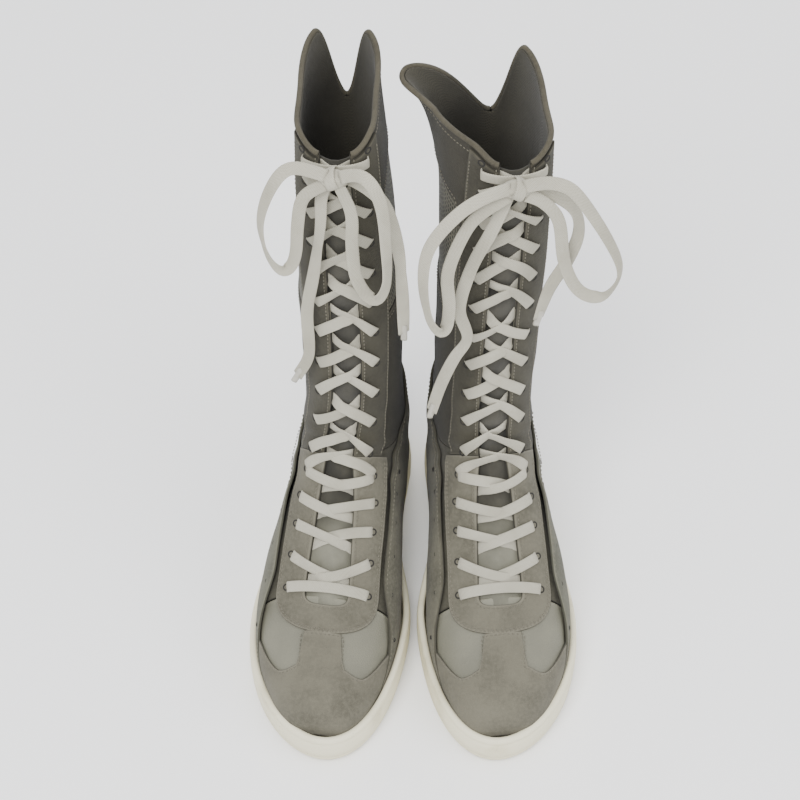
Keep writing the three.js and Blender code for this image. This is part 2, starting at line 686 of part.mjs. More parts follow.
const cream = { color: 0xdcd6c2, roughness: 0.7 };
const suede = { color: 0x9e9c8f, roughness: 0.95 };
const smoothLeather = { color: 0x96968a, roughness: 0.6 };
const darkSuede = { color: 0x5a5850, roughness: 0.95 };
const meshCloth = { color: 0x5c5d58, roughness: 0.9 };
const laceCloth = { color: 0xc2bfb4, roughness: 0.85 };
const foam = { color: 0xb8b4a6, roughness: 0.9 };

function bootPieces(boot) {
  boot.overlay = layerPiece(boot, overlay, [0, top], [-backColumn, backColumn], true);
  return [
    ["outsole", cream, makeOutsole()],
    ["cupsole", cream, makeCupsole()],
    ["midsole", foam, makeMidsole()],
    ["sockliner", foam, makeSockliner()],
    ["vamp", smoothLeather, makeVamp(boot)],
    ["toe_cap", suede, makeToeCap(boot)],
    ["apron", suede, makeApron(boot)],
    ["tongue_lower", smoothLeather, makeTongueLower(boot)],
    ["quarter_outer", smoothLeather, makeQuarter(boot, 1)],
    ["quarter_inner", smoothLeather, makeQuarter(boot, -1)],
    ["overlay_outer", suede, makeOuterQuarter(boot, 1)],
    ["overlay_inner", suede, makeOuterQuarter(boot, -1)],
    ["heel_counter", foam, makeHeelCounter(boot)],
    ["foot_lace", laceCloth, makeFootLace(boot)],
    ["calf_panel_outer", suede, makeCalfPanel(boot, 1)],
    ["calf_panel_inner", suede, makeCalfPanel(boot, -1)],
    ["mesh_panel_outer", meshCloth, makeMeshPanel(boot, 1)],
    ["mesh_panel_inner", meshCloth, makeMeshPanel(boot, -1)],
    ["collar_outer", darkSuede, makeCollar(boot, 1)],
    ["collar_inner", darkSuede, makeCollar(boot, -1)],
    ["facing_outer", suede, makeFacing(boot, 1)],
    ["facing_inner", suede, makeFacing(boot, -1)],
    ["back_strip", darkSuede, makeBackStrip(boot)],
    ["shaft_lining", foam, makeShaftLining(boot)],
    ["tongue_upper", smoothLeather, makeTongueUpper(boot)],
    ["shaft_lace", laceCloth, makeShaftLace(boot)],
    ["bow_loop_outer", laceCloth, makeFreeLace(boot, boot.outerLoop, 13)],
    ["bow_loop_inner", laceCloth, makeFreeLace(boot, boot.innerLoop, 13)],
    ["lace_end_outer", laceCloth, makeFreeLace(boot, boot.outerTail, 7)],
    ["lace_end_inner", laceCloth, makeFreeLace(boot, boot.innerTail, 7)],
  ];
}

function toMesh(name, look, piece, side) {
  const placed = side < 0 ? piece.mirror([1, 0, 0]) : piece;
  const { vertProperties, triVerts } = placed.simplify(facet).getMesh();
  const geometry = new THREE.BufferGeometry();
  geometry.setAttribute("position", new THREE.BufferAttribute(vertProperties, 3));
  geometry.setIndex(new THREE.BufferAttribute(triVerts, 1));
  geometry.computeVertexNormals();
  const mesh = new THREE.Mesh(geometry, new THREE.MeshStandardMaterial({ metalness: 0, ...look }));
  mesh.name = name;
  mesh.position.y = -0.5 * footLength;
  return mesh;
}

const pair = new THREE.Group();
for (const boot of boots) {
  const group = new THREE.Group();
  for (const [name, look, piece] of bootPieces(boot)) {
    group.add(toMesh(`${boot.name}_${name}`, look, piece, boot.side));
  }
  group.position.x = boot.x;
  group.rotation.z = boot.side * rad(boot.toeOut);
  pair.add(group);
}

// Stand the pair with the middle of its footprint over the origin.
pair.updateMatrixWorld(true);
const box = new THREE.Box3();
pair.traverse((item) => {
  if (item.isMesh && !/loop|lace_end/.test(item.name)) box.expandByObject(item, true);
});
pair.position.set(-0.5 * (box.min.x + box.max.x), -0.5 * (box.min.y + box.max.y), -box.min.z);

export default pair;
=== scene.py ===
# %% [markdown]
# # A pair of tall boxing boots
#
# The imported model is the frame: it fixes every size.

# %% Load the frame
import json
import math

import bpy
import numpy as np
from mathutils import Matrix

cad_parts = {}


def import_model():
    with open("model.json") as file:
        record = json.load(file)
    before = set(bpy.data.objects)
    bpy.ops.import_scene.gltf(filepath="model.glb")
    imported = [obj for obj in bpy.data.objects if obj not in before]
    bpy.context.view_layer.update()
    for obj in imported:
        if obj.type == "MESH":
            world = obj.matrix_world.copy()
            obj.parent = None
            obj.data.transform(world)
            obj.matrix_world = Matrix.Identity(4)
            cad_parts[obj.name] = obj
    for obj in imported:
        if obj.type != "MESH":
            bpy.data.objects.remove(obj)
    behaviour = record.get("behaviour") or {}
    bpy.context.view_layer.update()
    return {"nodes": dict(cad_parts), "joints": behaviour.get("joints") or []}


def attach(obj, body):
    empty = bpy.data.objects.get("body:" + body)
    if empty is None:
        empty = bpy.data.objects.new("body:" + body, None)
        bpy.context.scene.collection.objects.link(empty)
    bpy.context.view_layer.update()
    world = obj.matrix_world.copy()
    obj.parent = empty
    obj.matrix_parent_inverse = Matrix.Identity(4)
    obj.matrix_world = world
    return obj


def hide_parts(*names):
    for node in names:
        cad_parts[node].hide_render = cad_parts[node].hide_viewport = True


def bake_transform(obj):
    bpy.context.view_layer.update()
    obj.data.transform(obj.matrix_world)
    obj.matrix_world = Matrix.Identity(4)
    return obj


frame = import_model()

# %% [markdown]
# ## Camera
#
# The boots are seen from above the toes through a long lens, which keeps the pair nearly parallel.

# %% Camera
CAMERA_PLACE = (-0.009, -0.870, 1.256)
CAMERA_DOWN = 50.3
LENS = 95.0

camera = bpy.data.objects.new("camera", bpy.data.cameras.new("camera"))
camera.location = CAMERA_PLACE
camera.rotation_euler = (math.radians(90 - CAMERA_DOWN), 0, 0)
camera.data.lens = LENS
bpy.context.scene.collection.objects.link(camera)
bpy.context.scene.camera = camera
print("camera at", CAMERA_PLACE, "looking", CAMERA_DOWN, "degrees down")

# %% [markdown]
# ## Where each boot stands
#
# A boot is worked out in its own millimetres: x to the little-toe side, y back from the toe tip,
# z up. The pin of the frame's ankle hinge lies along the boot's own x, so it gives turn and shift.

# %% Sizes and the two boots
MM = 0.001
FOOT_LENGTH, BALL_WIDTH, HEEL_WIDTH = 295.0, 110.0, 72.0
BOOT_HEIGHT, SHAFT_DEPTH, SHAFT_WIDTH = 412.0, 116.0, 62.0
ANKLE_HEIGHT, BALL_HEIGHT, TOE_HEIGHT = 128.0, 66.0, 47.0
SOLE_TOP, UNDERFOOT, UPPER_INSET = 28.3, 8.3, 10.4
HEEL_BACK = FOOT_LENGTH - UPPER_INSET
HINGE_Y = HEEL_BACK - 66
SHAFT_FRONT = HEEL_BACK - SHAFT_DEPTH
SHAFT_AXIS = HEEL_BACK - SHAFT_DEPTH / 2
INSTEP = SHAFT_FRONT - 15
BALL_PLACE = 0.34 * FOOT_LENGTH
HEEL_ROUND = 0.17 * FOOT_LENGTH
LACE_WIDTH = 8.0
HINGES = {joint["name"]: joint for joint in frame["joints"]}

# flare and pinch are for the outer and the inner wall of the collar, settle for front and back
BOOTS = [
    {"name": "right", "side": -1, "twist": -6, "lean": 6, "flare": (5, 5), "pinch": (0.33, 0.33),
     "settle": (17, -5)},
    {"name": "left", "side": 1, "twist": 0, "lean": 6, "flare": (4, 42), "pinch": (0.33, 0),
     "settle": (8, -22)},
]
for boot in BOOTS:
    hinge = HINGES[boot["name"] + "_ankle_flex"]
    boot["hinge"] = np.array(hinge["pos_m"])
    boot["turn"] = math.atan2(hinge["axis"][1], hinge["axis"][0])
    print(boot["name"], "boot turns", round(math.degrees(boot["turn"]), 1), "degrees")


def to_row(boot, points):
    """Boot millimetres to row metres: mirror x for the right boot, turn about the ankle, shift."""
    x = boot["side"] * points[..., 0]
    y = points[..., 1] - HINGE_Y
    c, s = math.cos(boot["turn"]), math.sin(boot["turn"])
    place = boot["hinge"] * (1, 1, 0)
    return np.stack([x * c - y * s, x * s + y * c, points[..., 2]], -1) * MM + place


# %% [markdown]
# ## The skin of a boot
#
# Every layer of the upper follows one skin: 17 sections from the toe tip, over the instep and up
# the shaft. A place on it has a section s and an angle, from 0 on the throat line to 180 at the
# back, plus on the outer side. A third number lifts a point off it.

# %% Sole outline and sections
def ramp(x, low, high):
    """Smooth step: 0 up to low, 1 from high on, with no corner at either end."""
    t = np.clip((np.asarray(x, float) - low) / (high - low), 0, 1)
    return t * t * (3 - 2 * t)


def mix(a, b, t):
    """Straight blend from a to b."""
    return a + (b - a) * t


def sole_half(y, side):
    """Half width of the sole: a quarter ellipse at the toe and at the heel, a cosine between."""
    y = np.asarray(y, float)
    heel_start = FOOT_LENGTH - HEEL_ROUND
    toe = BALL_WIDTH / 2 * np.sqrt(np.clip(1 - (1 - y / BALL_PLACE) ** 2, 0, 1))
    heel = HEEL_WIDTH / 2 * np.sqrt(np.clip(1 - ((y - heel_start) / HEEL_ROUND) ** 2, 0, 1))
    t = np.clip((y - BALL_PLACE) / (heel_start - BALL_PLACE), 0, 1)
    waist = np.where(side > 0, 1, 7) * np.sin(np.pi * t) ** 2
    middle = mix(BALL_WIDTH / 2, HEEL_WIDTH / 2, 0.5 - 0.5 * np.cos(np.pi * t)) - waist
    return np.where(y < BALL_PLACE, toe, np.where(y > heel_start, heel, middle))


def sole_centre(y):
    """The forefoot swings 9 mm toward the big toe."""
    return -9 * np.clip(1 - np.asarray(y, float) / BALL_PLACE, 0, 1) ** 2


def foot_row(y, height):
    outer, inner = (float(sole_half(y, side)) - UPPER_INSET for side in (1, -1))
    return [y, height, y, UNDERFOOT, outer, inner, float(sole_centre(y)), 5]


def leg_row(front_y, front_z, back_y, back_z, half, square):
    return [front_y, front_z, back_y, back_z, half, half, 0, square]


def up(share):
    """Height at a share of the way from the ankle to the top."""
    return ANKLE_HEIGHT + share * (BOOT_HEIGHT - ANKLE_HEIGHT)


BALL_Y = 0.3 * FOOT_LENGTH
HALF = SHAFT_WIDTH / 2
FIFTH = foot_row(0.415 * FOOT_LENGTH, mix(BALL_HEIGHT, ANKLE_HEIGHT, 0.36))
FIFTH[0] = mix(BALL_Y, INSTEP, 0.46)
SECTIONS = np.array([
    foot_row(0.039 * FOOT_LENGTH, 24),
    foot_row(0.054 * FOOT_LENGTH, 0.77 * TOE_HEIGHT),
    foot_row(0.1 * FOOT_LENGTH, TOE_HEIGHT),
    foot_row(0.186 * FOOT_LENGTH, mix(TOE_HEIGHT, BALL_HEIGHT, 0.4)),
    foot_row(BALL_Y, BALL_HEIGHT),
    FIFTH,
    leg_row(mix(BALL_Y, INSTEP, 0.83), mix(BALL_HEIGHT, ANKLE_HEIGHT, 0.73), 0.54 * FOOT_LENGTH,
            UNDERFOOT, mix(HALF, BALL_WIDTH / 2 - UPPER_INSET, 0.5), 4.5),
    leg_row(INSTEP, ANKLE_HEIGHT, 0.72 * FOOT_LENGTH, UNDERFOOT, HALF + 3, 4),
    leg_row(INSTEP + 5, ANKLE_HEIGHT + 13, HEEL_BACK - 22, UNDERFOOT, HALF + 1, 3),
    leg_row(INSTEP + 8, ANKLE_HEIGHT + 25, HEEL_BACK, UNDERFOOT + 22, HALF, 2.6),
    leg_row(INSTEP + 10, ANKLE_HEIGHT + 38, HEEL_BACK + 1, 80, HALF - 1, 2.4),
    leg_row(INSTEP + 12, ANKLE_HEIGHT + 58, HEEL_BACK - 3, ANKLE_HEIGHT - 3, HALF - 1.5, 2.3),
    leg_row(INSTEP + 14, up(0.3), HEEL_BACK - 5, up(0.18), HALF - 1, 2.2),
    leg_row(SHAFT_FRONT, up(0.43), HEEL_BACK - 3, up(0.395), HALF, 2.2),
    leg_row(SHAFT_FRONT - 1, up(0.64), HEEL_BACK, up(0.645), HALF + 0.5, 2.2),
    leg_row(SHAFT_FRONT - 4, up(0.835), HEEL_BACK - 1, up(0.845), HALF - 1, 2.2),
    leg_row(SHAFT_FRONT - 8, BOOT_HEIGHT, HEEL_BACK - 4, BOOT_HEIGHT, HALF - 4, 2.2),
])
TOP = len(SECTIONS) - 1
FRONT_Y, FRONT_Z, BACK_Y, BACK_Z, OUTER, INNER, CENTRE, SQUARE = range(8)
print("sections:", len(SECTIONS))


# %% The skin as a function of section and angle
def along(column, s):
    """Catmull-Rom curve through one column of the sections, so a boot bends smoothly."""
    i = np.clip(np.floor(s).astype(int), 0, TOP - 1)
    t = s - i
    a, b, c, d = (SECTIONS[np.clip(i + k, 0, TOP), column] for k in (-1, 0, 1, 2))
    return b + 0.5 * t * (c - a + t * (2 * a - 5 * b + 4 * c - d + t * (3 * (b - c) + d - a)))


def skin_point(boot, s, angle):
    """A section is a superellipse: x goes as sin and y as cos of the angle, each to a power."""
    turn = np.radians(np.abs(angle))
    c = np.cos(turn)
    power = 2 / np.where(c < 0, along(SQUARE, s), mix(2, 2.5, ramp(s, 5, 9)))
    share = 0.5 * (1 - np.sign(c) * np.abs(c) ** power)
    rise = np.clip((s - 12.8) / (TOP - 12.8), 0, None)
    pinch = 1 - np.where(angle > 0, *boot["pinch"]) * np.clip(rise, 0, 1) * ramp(turn, 0.4, 1.6)
    half = np.where(angle > 0, along(OUTER, s), along(INNER, s))
    swing = np.sin(np.pi * (np.minimum(np.abs(angle), 180) / 180) ** 3) * rise ** 2.5
    flare = np.where(angle > 0, *boot["flare"]) * swing
    reach = half * pinch * np.abs(np.sin(turn)) ** power
    x = along(CENTRE, s) + np.sign(angle) * (reach + flare)
    front, back = (n * ramp(s, 11, TOP) for n in boot["settle"])
    y = mix(along(FRONT_Y, s) + front, along(BACK_Y, s) + back, share) - 0.3 * flare - SHAFT_AXIS
    z = mix(along(FRONT_Z, s), along(BACK_Z, s), share)
    twist = np.radians(boot["twist"]) * ramp(s, 8, 13)
    lean = boot["lean"] * ramp(s, 9, TOP) ** 2
    cos, sin = np.cos(twist), np.sin(twist)
    return np.stack([x * cos - y * sin + lean, SHAFT_AXIS + x * sin + y * cos, z], -1)


def unit(v):
    """Vectors scaled to length 1."""
    return v / np.maximum(np.linalg.norm(v, axis=-1, keepdims=True), 1e-9)


def outward(boot, s, angle):
    """Direction square to the skin: the cross product of a step round it and a step along it."""
    up = skin_point(boot, s + 0.02, angle) - skin_point(boot, s - 0.02, angle)
    ahead = skin_point(boot, s, np.minimum(angle + 2, 180))
    return unit(np.cross(ahead - skin_point(boot, s, np.maximum(angle - 2, -180)), up))


def creases(s, angle):
    """Wear folds, in millimetres: three slow waves, strongest where the ankle bends."""
    side = np.where(angle > 0, 0.9, 0.0)
    wave = 0.5 * np.sin(3.1 * s + 0.028 * angle + side) + 0.35 * np.sin(5.7 * s - 0.045 * angle)
    wave = wave + 0.3 * np.sin(1.7 * s + 0.06 * angle + 2 * side)
    bend = 0.35 + 0.9 * np.exp(-(((s - 8.6) / 1.6) ** 2))
    return wave * bend * ramp(s, 3.5, 6)


def skin(boot, s, angle, depth):
    """The skin's point moved out along its normal by depth, plus the wear folds."""
    s, angle, depth = np.broadcast_arrays(*(np.asarray(v, float) for v in (s, angle, depth)))
    angle = np.where(np.abs(angle) < 0.01, 0.01, np.where(angle > 180, angle - 360, angle))
    lift = depth + creases(s, angle)
    return skin_point(boot, s, angle) + outward(boot, s, angle) * lift[..., None]


def throat(s):
    """Angle of the eyelet edge: 14 mm from the middle at the vamp, 6 mm on the shaft."""
    return np.degrees(np.arcsin(mix(14, 6, ramp(s, 4, 8)) / along(OUTER, np.asarray(s, float))))


def band(s):
    """Angle of the far edge of the 19 mm eyelet strip."""
    half = mix(14, 6, ramp(s, 4, 8)) + 19
    return np.degrees(np.arcsin(np.minimum(0.95, half / along(OUTER, np.asarray(s, float)))))


def eyelet(s):
    """Angle of the eyelets: past the strip's middle on the foot, nearer its edge up the shaft."""
    return mix(throat(s), band(s), mix(0.62, 0.36, ramp(s, 6, 9)))


PEAK, NOTCH = 148, 1.35  # angle of the collar's peaks, and depth in sections of the notch


def collar_top(angle):
    """Top edge, as a section: rounded front corners and a notch between two peaks at the back."""
    a = np.abs(np.asarray(angle, float))
    dip = 0.12 * (1 - ramp(a, 10, 60)) + 0.2 * np.sin(np.pi * np.minimum(1, a / PEAK))
    dip = dip + 0.24 * (1 - ramp(a, 8, 46))
    return TOP - NOTCH * ramp(a, PEAK, 180) - dip


print("skin reaches", round(float(skin_point(BOOTS[0], np.array(16.0), np.array(90.0))[2])), "mm")

# %% [markdown]
# ## From grids to meshes
#
# A sheet of leather is a closed shell: an outer grid, an inner grid and a rim that they share. Its
# thickness swells from nothing at the rim as a quarter circle does, so cut edges catch the light.
# Each point also keeps its distance to the rim and a flat map in metres, along which a weave can
# run. Faces have to point outwards, which the signed volume tells: the sum of the small pyramids
# from the middle to every face is negative when a shell is inside out.

# %% Shells and tubes
RIM = 0.8
EDGE_RINGS = np.array([0, 0.12, 0.45, 1.0]) * RIM
DEEP = 6.0  # from here inwards a finish no longer feels the rim


def rim_steps(length, spacing):
    """Steps from 0 to 1: close together at both ends for the rounded rim, even in between."""
    near = EDGE_RINGS / length
    middle = np.linspace(near[-1], 1 - near[-1], max(3, int(length / spacing)) + 1)
    return np.concatenate([near[:-1], middle, 1 - near[-2::-1]])


def record(points, faces, flat=0.0, rim=DEEP):
    """A mesh as flat lists: points, faces, the flat map and the distance to the rim."""
    grid = points.shape[:-1]
    return {"points": points.reshape(-1, 3), "faces": faces,
            "flat": np.broadcast_to(flat, (*grid, 2)).reshape(-1, 2),
            "rim": np.broadcast_to(rim, grid).ravel()}


def grid_faces(ids, wrap=False):
    """Four-sided faces between neighbours of a grid of point numbers."""
    if wrap:
        ids = np.concatenate([ids, ids[:, :1]], 1)
    return np.stack([ids[:-1, :-1], ids[:-1, 1:], ids[1:, 1:], ids[1:, :-1]], -1).reshape(-1, 4)


def shell(boot, place, start, thickness, spacing=3.0, relief=None):
    """Closed panel: place(p, q) gives section and angle, relief(p, q) lifts it off the skin."""
    s, a = place(*np.meshgrid(np.linspace(0, 1, 30), np.linspace(0, 1, 30), indexing="ij"))
    coarse = skin(boot, s, a, start)
    length = [np.linalg.norm(np.diff(coarse, axis=k), axis=-1).sum(k).mean() for k in (0, 1)]
    p, q = np.meshgrid(*(rim_steps(n, spacing) for n in length), indexing="ij")
    s, a = place(p, q)
    rim = np.minimum(np.minimum(p, 1 - p) * length[0], np.minimum(q, 1 - q) * length[1])
    swell = np.sqrt(1 - (1 - np.minimum(rim / RIM, 1)) ** 2)
    lift = start + (relief(p, q) if relief else 0)
    layers = np.stack([skin(boot, s, a, lift + thickness * (0.5 + k * swell)) for k in (0.5, -0.5)])
    ids = np.arange(2 * p.size).reshape(2, *p.shape)
    ids[1][[0, -1]], ids[1][:, [0, -1]] = ids[0][[0, -1]], ids[0][:, [0, -1]]
    faces = np.concatenate([grid_faces(ids[0]), grid_faces(ids[1])[:, ::-1]])
    return record(layers, faces, np.stack([q * length[1], p * length[0]], -1) * MM, rim)


def tube(path, up, profile, closed=False):
    """A flat profile of (across, up) points carried along a path, capped at both ends."""
    step = np.roll(path, -1, 0) - np.roll(path, 1, 0) if closed else np.gradient(path, axis=0)
    tangent = unit(step)
    across = unit(np.cross(up, tangent))
    over = np.cross(tangent, across)
    rings = across[:, None] * profile[None, :, :1] + over[:, None] * profile[None, :, 1:]
    count, sides = len(path), len(profile)
    ids = np.arange(count * sides).reshape(count, sides)
    run = np.concatenate([[0], np.cumsum(np.linalg.norm(np.diff(path, axis=0), axis=-1))])
    width = np.broadcast_to(profile[:, 0], (count, sides))
    flat = np.stack([width, np.broadcast_to(run[:, None], (count, sides))], -1) * MM
    if closed:
        ids = np.concatenate([ids, ids[:1]], 0)
        caps = np.zeros((0, 4), int)
    else:
        fan = np.arange(1, sides // 2)
        pairs = np.stack([fan - 1, fan, sides - 1 - fan, sides - fan], -1)
        caps = np.concatenate([pairs[:, ::-1], pairs + (count - 1) * sides])
    faces = np.concatenate([grid_faces(ids, wrap=True), caps])
    return record(rings + path[:, None], faces, flat)


def signed_volume(points, faces):
    """Sum over the faces' two triangles of a . (b x c) / 6."""
    a, b, c, d = (points[faces[:, k]] for k in range(4))
    return (np.cross(b, c) * a + np.cross(c, d) * a).sum() / 6


def outside_out(points, faces):
    """The faces, turned round if they point inwards."""
    return faces[:, ::-1] if signed_volume(points - points.mean(0), faces) < 0 else faces


def joined(parts):
    """Several closed meshes as one, each with its faces outwards."""
    parts = [{**part, "faces": outside_out(part["points"], part["faces"])} for part in parts]
    shift = np.cumsum([0] + [len(part["points"]) for part in parts[:-1]])
    out = {key: np.concatenate([part[key] for part in parts]) for key in ("points", "flat", "rim")}
    out["faces"] = np.concatenate([part["faces"] + n for part, n in zip(parts, shift)])
    return out


# %% [markdown]
# A finished shape becomes one object. The right boot is a mirror of the left, which turns its faces
# inwards, so they are turned round again.

# %% Put a shape into the scene
def put(boot, name, shape, finish, slot, part, *replaces):
    """Makes an object of a boot; its part is foot or shaft, or ankle for a piece across the ankle,
    which joins no body.
    """
    name, nodes = f"{boot['name']}_{name}", [f"{boot['name']}_{node}" for node in replaces]
    used, faces = np.unique(shape["faces"], return_inverse=True)
    points = to_row(boot, shape["points"][used])
    faces = outside_out(points, faces.reshape(-1, 4))
    mesh = bpy.data.meshes.new(name)
    three = (faces == np.roll(faces, 1, 1)).any(1)
    lists = faces[~three].tolist() + [list(dict.fromkeys(f)) for f in faces[three].tolist()]
    mesh.from_pydata(points.tolist(), [], lists)
    mesh.polygons.foreach_set("use_smooth", np.ones(len(mesh.polygons), bool))
    corner = np.empty(len(mesh.loops), int)
    mesh.loops.foreach_get("vertex_index", corner)
    mesh.uv_layers.new(name="flat").data.foreach_set("uv", shape["flat"][used][corner].ravel())
    rim = mesh.attributes.new("rim", "FLOAT", "POINT")
    rim.data.foreach_set("value", np.clip(shape["rim"][used] / DEEP, 0, 1).astype(np.float32))
    mesh.materials.append(finish)
    piece = bpy.data.objects.new(name, mesh)
    bpy.context.scene.collection.objects.link(piece)
    if nodes:
        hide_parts(*nodes)
    if part == "ankle":
        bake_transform(piece)
    else:
        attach(piece, f"{boot['name']}_{part}_body")
    return piece


# %% [markdown]
# ## Finishes
#
# A finish is a graph of nodes. A small class wraps one output of a node, and arithmetic on it adds
# Math nodes, so a graph reads as sums and products. Colours are blended by Mix nodes.


# %% Node graphs written as expressions
def arithmetic(operation, swapped=False):
    """A method that makes a Math node from a wire and another value."""
    def method(self, other=0):
        a, b = (other, self) if swapped else (self, other)
        return self.finish.node("Math", {"operation": operation}, {0: a, 1: b})
    return method


class Wire:
    """One output of a node; arithmetic on it makes a Math node."""

    def __init__(self, finish, socket):
        self.finish, self.socket = finish, socket

    __add__ = __radd__ = arithmetic("ADD")
    __mul__ = __rmul__ = arithmetic("MULTIPLY")
    __sub__, __rsub__ = arithmetic("SUBTRACT"), arithmetic("SUBTRACT", swapped=True)
    __truediv__, __rtruediv__ = arithmetic("DIVIDE"), arithmetic("DIVIDE", swapped=True)
    sine, absolute, most = (arithmetic(kind) for kind in ("SINE", "ABSOLUTE", "MAXIMUM"))


class Finish:
    """A material with a Principled shader, and the methods that build its graph."""

    def __init__(self, name, roughness, sheen=0.0, specular=0.5):
        self.material = bpy.data.materials.new(name)
        self.material.use_nodes = True
        self.nodes = self.material.node_tree.nodes
        self.links = self.material.node_tree.links
        self.nodes.clear()
        self.shader = self.nodes.new("ShaderNodeBsdfPrincipled")
        output = self.nodes.new("ShaderNodeOutputMaterial")
        self.links.new(self.shader.outputs[0], output.inputs[0])
        self.shader.inputs["Roughness"].default_value = roughness
        self.shader.inputs["Specular IOR Level"].default_value = specular
        self.shader.inputs["Sheen Weight"].default_value = sheen
        self.shader.inputs["Sheen Roughness"].default_value = 0.6
        self.place = self.node("TexCoord", {}, {}, "Object")

    def node(self, kind, settings, values, output=0):
        """Any node: its settings first, then the values or links of its sockets."""
        made = self.nodes.new("ShaderNode" + kind)
        for key, value in settings.items():
            setattr(made, key, value)
        for key, value in values.items():
            if isinstance(value, Wire):
                self.links.new(value.socket, made.inputs[key])
            else:
                made.inputs[key].default_value = value
        return Wire(self, made.outputs[output])

    def noise(self, scale, detail=3.0):
        """Soft noise; scale is its number of lumps to a metre."""
        values = {"Vector": self.place, "Scale": scale, "Detail": detail}
        return self.node("TexNoise", {}, values, "Fac")

    def spots(self, feature, scale):
        """Distance to the middle or to the edge of scattered cells."""
        values = {"Vector": self.place, "Scale": scale}
        return self.node("TexVoronoi", {"feature": feature}, values, "Distance")

    def step(self, value, low, high):
        """Smooth step of a value: 0 below low, 1 above high."""
        settings = {"interpolation_type": "SMOOTHSTEP"}
        return self.node("MapRange", settings, {"Value": value, 1: low, 2: high})

    def blend(self, factor, a, b):
        """From colour a to colour b."""
        return self.node("Mix", {"data_type": "RGBA"}, {0: factor, 6: a, 7: b}, 2)

    def rim(self):
        """0 at the edge of a piece, 1 from 6 mm inside it."""
        return self.node("Attribute", {"attribute_name": "rim"}, {}, "Fac")

    def flat(self):
        """The two directions of the flat map, in metres."""
        uv = self.node("UVMap", {"uv_map": "flat"}, {})
        parts = self.node("SeparateXYZ", {}, {0: uv})
        return parts, Wire(self, parts.socket.node.outputs[1])

    def set(self, **sockets):
        """Links to the shader's own sockets, with _ for a space in their names."""
        for name, wire in sockets.items():
            self.links.new(wire.socket, self.shader.inputs[name.replace("_", " ")])
        return self.material

    def bump(self, height, distance, strength=1.0):
        """Surface normal from a height; distance is in metres."""
        values = {"Height": height, "Distance": distance, "Strength": strength}
        return self.node("Bump", {}, values)


def colour(red, green, blue, deep=1.0):
    """A screen colour, 0 to 255, as the light values that the shader uses, times deep."""
    c = np.array([red, green, blue]) / 255
    linear = np.where(c < 0.04045, c / 12.92, ((c + 0.055) / 1.055) ** 2.4) * deep
    return (*linear.tolist(), 1.0)


def hide(red, green, blue):
    """Leather drinks light, so its tones go a third deeper than they look on a swatch."""
    return colour(red, green, blue, 0.64)


# %% [markdown]
# Suede is nearly matt. Its fibres lie in patches that turn light or dark, and it wears pale along
# its edges; on the two quarter suedes the edge colour is dark instead, a painted shade. The last
# millimetre at every rim is darker still, partly the raw cut edge and partly painted seam shade.
# Noises make the half-millimetre fibres, the strokes, the patches and the stains.

# %% Suede and leather
def times(shade, share):
    """A colour made darker."""
    return tuple(share * v for v in shade[:3]) + (1.0,)


def suede(name, shade, wear_and_edge_shade):
    f = Finish(name, 0.95, sheen=0.06, specular=0.15)
    fibre = f.noise(2300, 4.0)
    strokes = f.noise(420)
    patches = f.step(f.noise(42, 4.0), 0.34, 0.66)
    stains = f.step(f.noise(15), 0.4, 0.68)
    edge = f.step(1 - f.rim(), 0.45, 1.0)
    dark = times(shade, 0.5)
    tone = f.blend(patches * 0.5 + stains * 0.35, dark, shade)
    tone = f.blend(f.step(strokes, 0.35, 0.75) * 0.45, tone, shade)
    tone = f.blend((edge * f.noise(160, 2.0)) * 0.9, tone, wear_and_edge_shade)
    tone = f.blend(f.step(fibre, 0.3, 0.8) * 0.3, tone, wear_and_edge_shade)
    # The last millimetre of every rim goes dark: partly the raw cut edge, partly painted shade in
    # the seams between panels.
    rim_cut_and_seam_shade = 1 - f.step(f.rim(), 0.02, 0.13)
    tone = f.blend(rim_cut_and_seam_shade * 0.8, tone, times(shade, 0.3))
    height = fibre * 0.5 + strokes * 0.5
    return f.set(Base_Color=tone, Normal=f.bump(height, 0.0006, 0.8), Roughness=0.82 + fibre * 0.2)


def smooth_leather(name, shade, wear_and_edge_shade):
    f = Finish(name, 0.55, specular=0.4)
    grain = f.spots("DISTANCE_TO_EDGE", 850.0)
    cells = f.step(grain, 0.0, 0.35)
    patches = f.step(f.noise(30, 4.0), 0.3, 0.7)
    dark = times(shade, 0.78)
    tone = f.blend(patches, dark, shade)
    tone = f.blend((1 - cells) * 0.25, tone, dark)
    tone = f.blend(f.step(1 - f.rim(), 0.5, 1.0) * 0.5, tone, wear_and_edge_shade)
    height = cells * 0.6 + f.noise(260) * 0.6
    return f.set(Base_Color=tone, Normal=f.bump(height, 0.0003, 0.6),
                 Roughness=0.46 + f.noise(120, 2.0) * 0.25)


GREY_SUEDE = suede("grey_suede", hide(128, 124, 108), hide(152, 147, 130))
PALE_SUEDE = suede("pale_suede", hide(122, 121, 105), hide(150, 148, 130))
# These two take a dark edge colour, not a pale one: painted shadow along the quarter's lifted free
# edge and along the base leather's edges under the overlays.
QUARTER_EDGE = suede("quarter_suede", colour(112, 109, 94), colour(48, 46, 38))
QUARTER_BASE = suede("quarter_base_suede", hide(104, 101, 87), hide(60, 57, 48))
SHAFT_SUEDE = suede("shaft_suede", hide(78, 75, 63), hide(112, 107, 92))
DARK_SUEDE = suede("dark_suede", hide(60, 57, 46), hide(118, 112, 96))
BINDING = suede("binding_suede", hide(98, 93, 78), hide(128, 121, 103))
SMOOTH = smooth_leather("smooth_leather", hide(142, 140, 122), hide(160, 157, 138))
print("suedes and leather:", len(bpy.data.materials))

# %% [markdown]
# The tongue is smooth pale leather at the toe end and dark suede up the shaft. Its flat map runs
# along it, so a step in that direction changes one into the other.


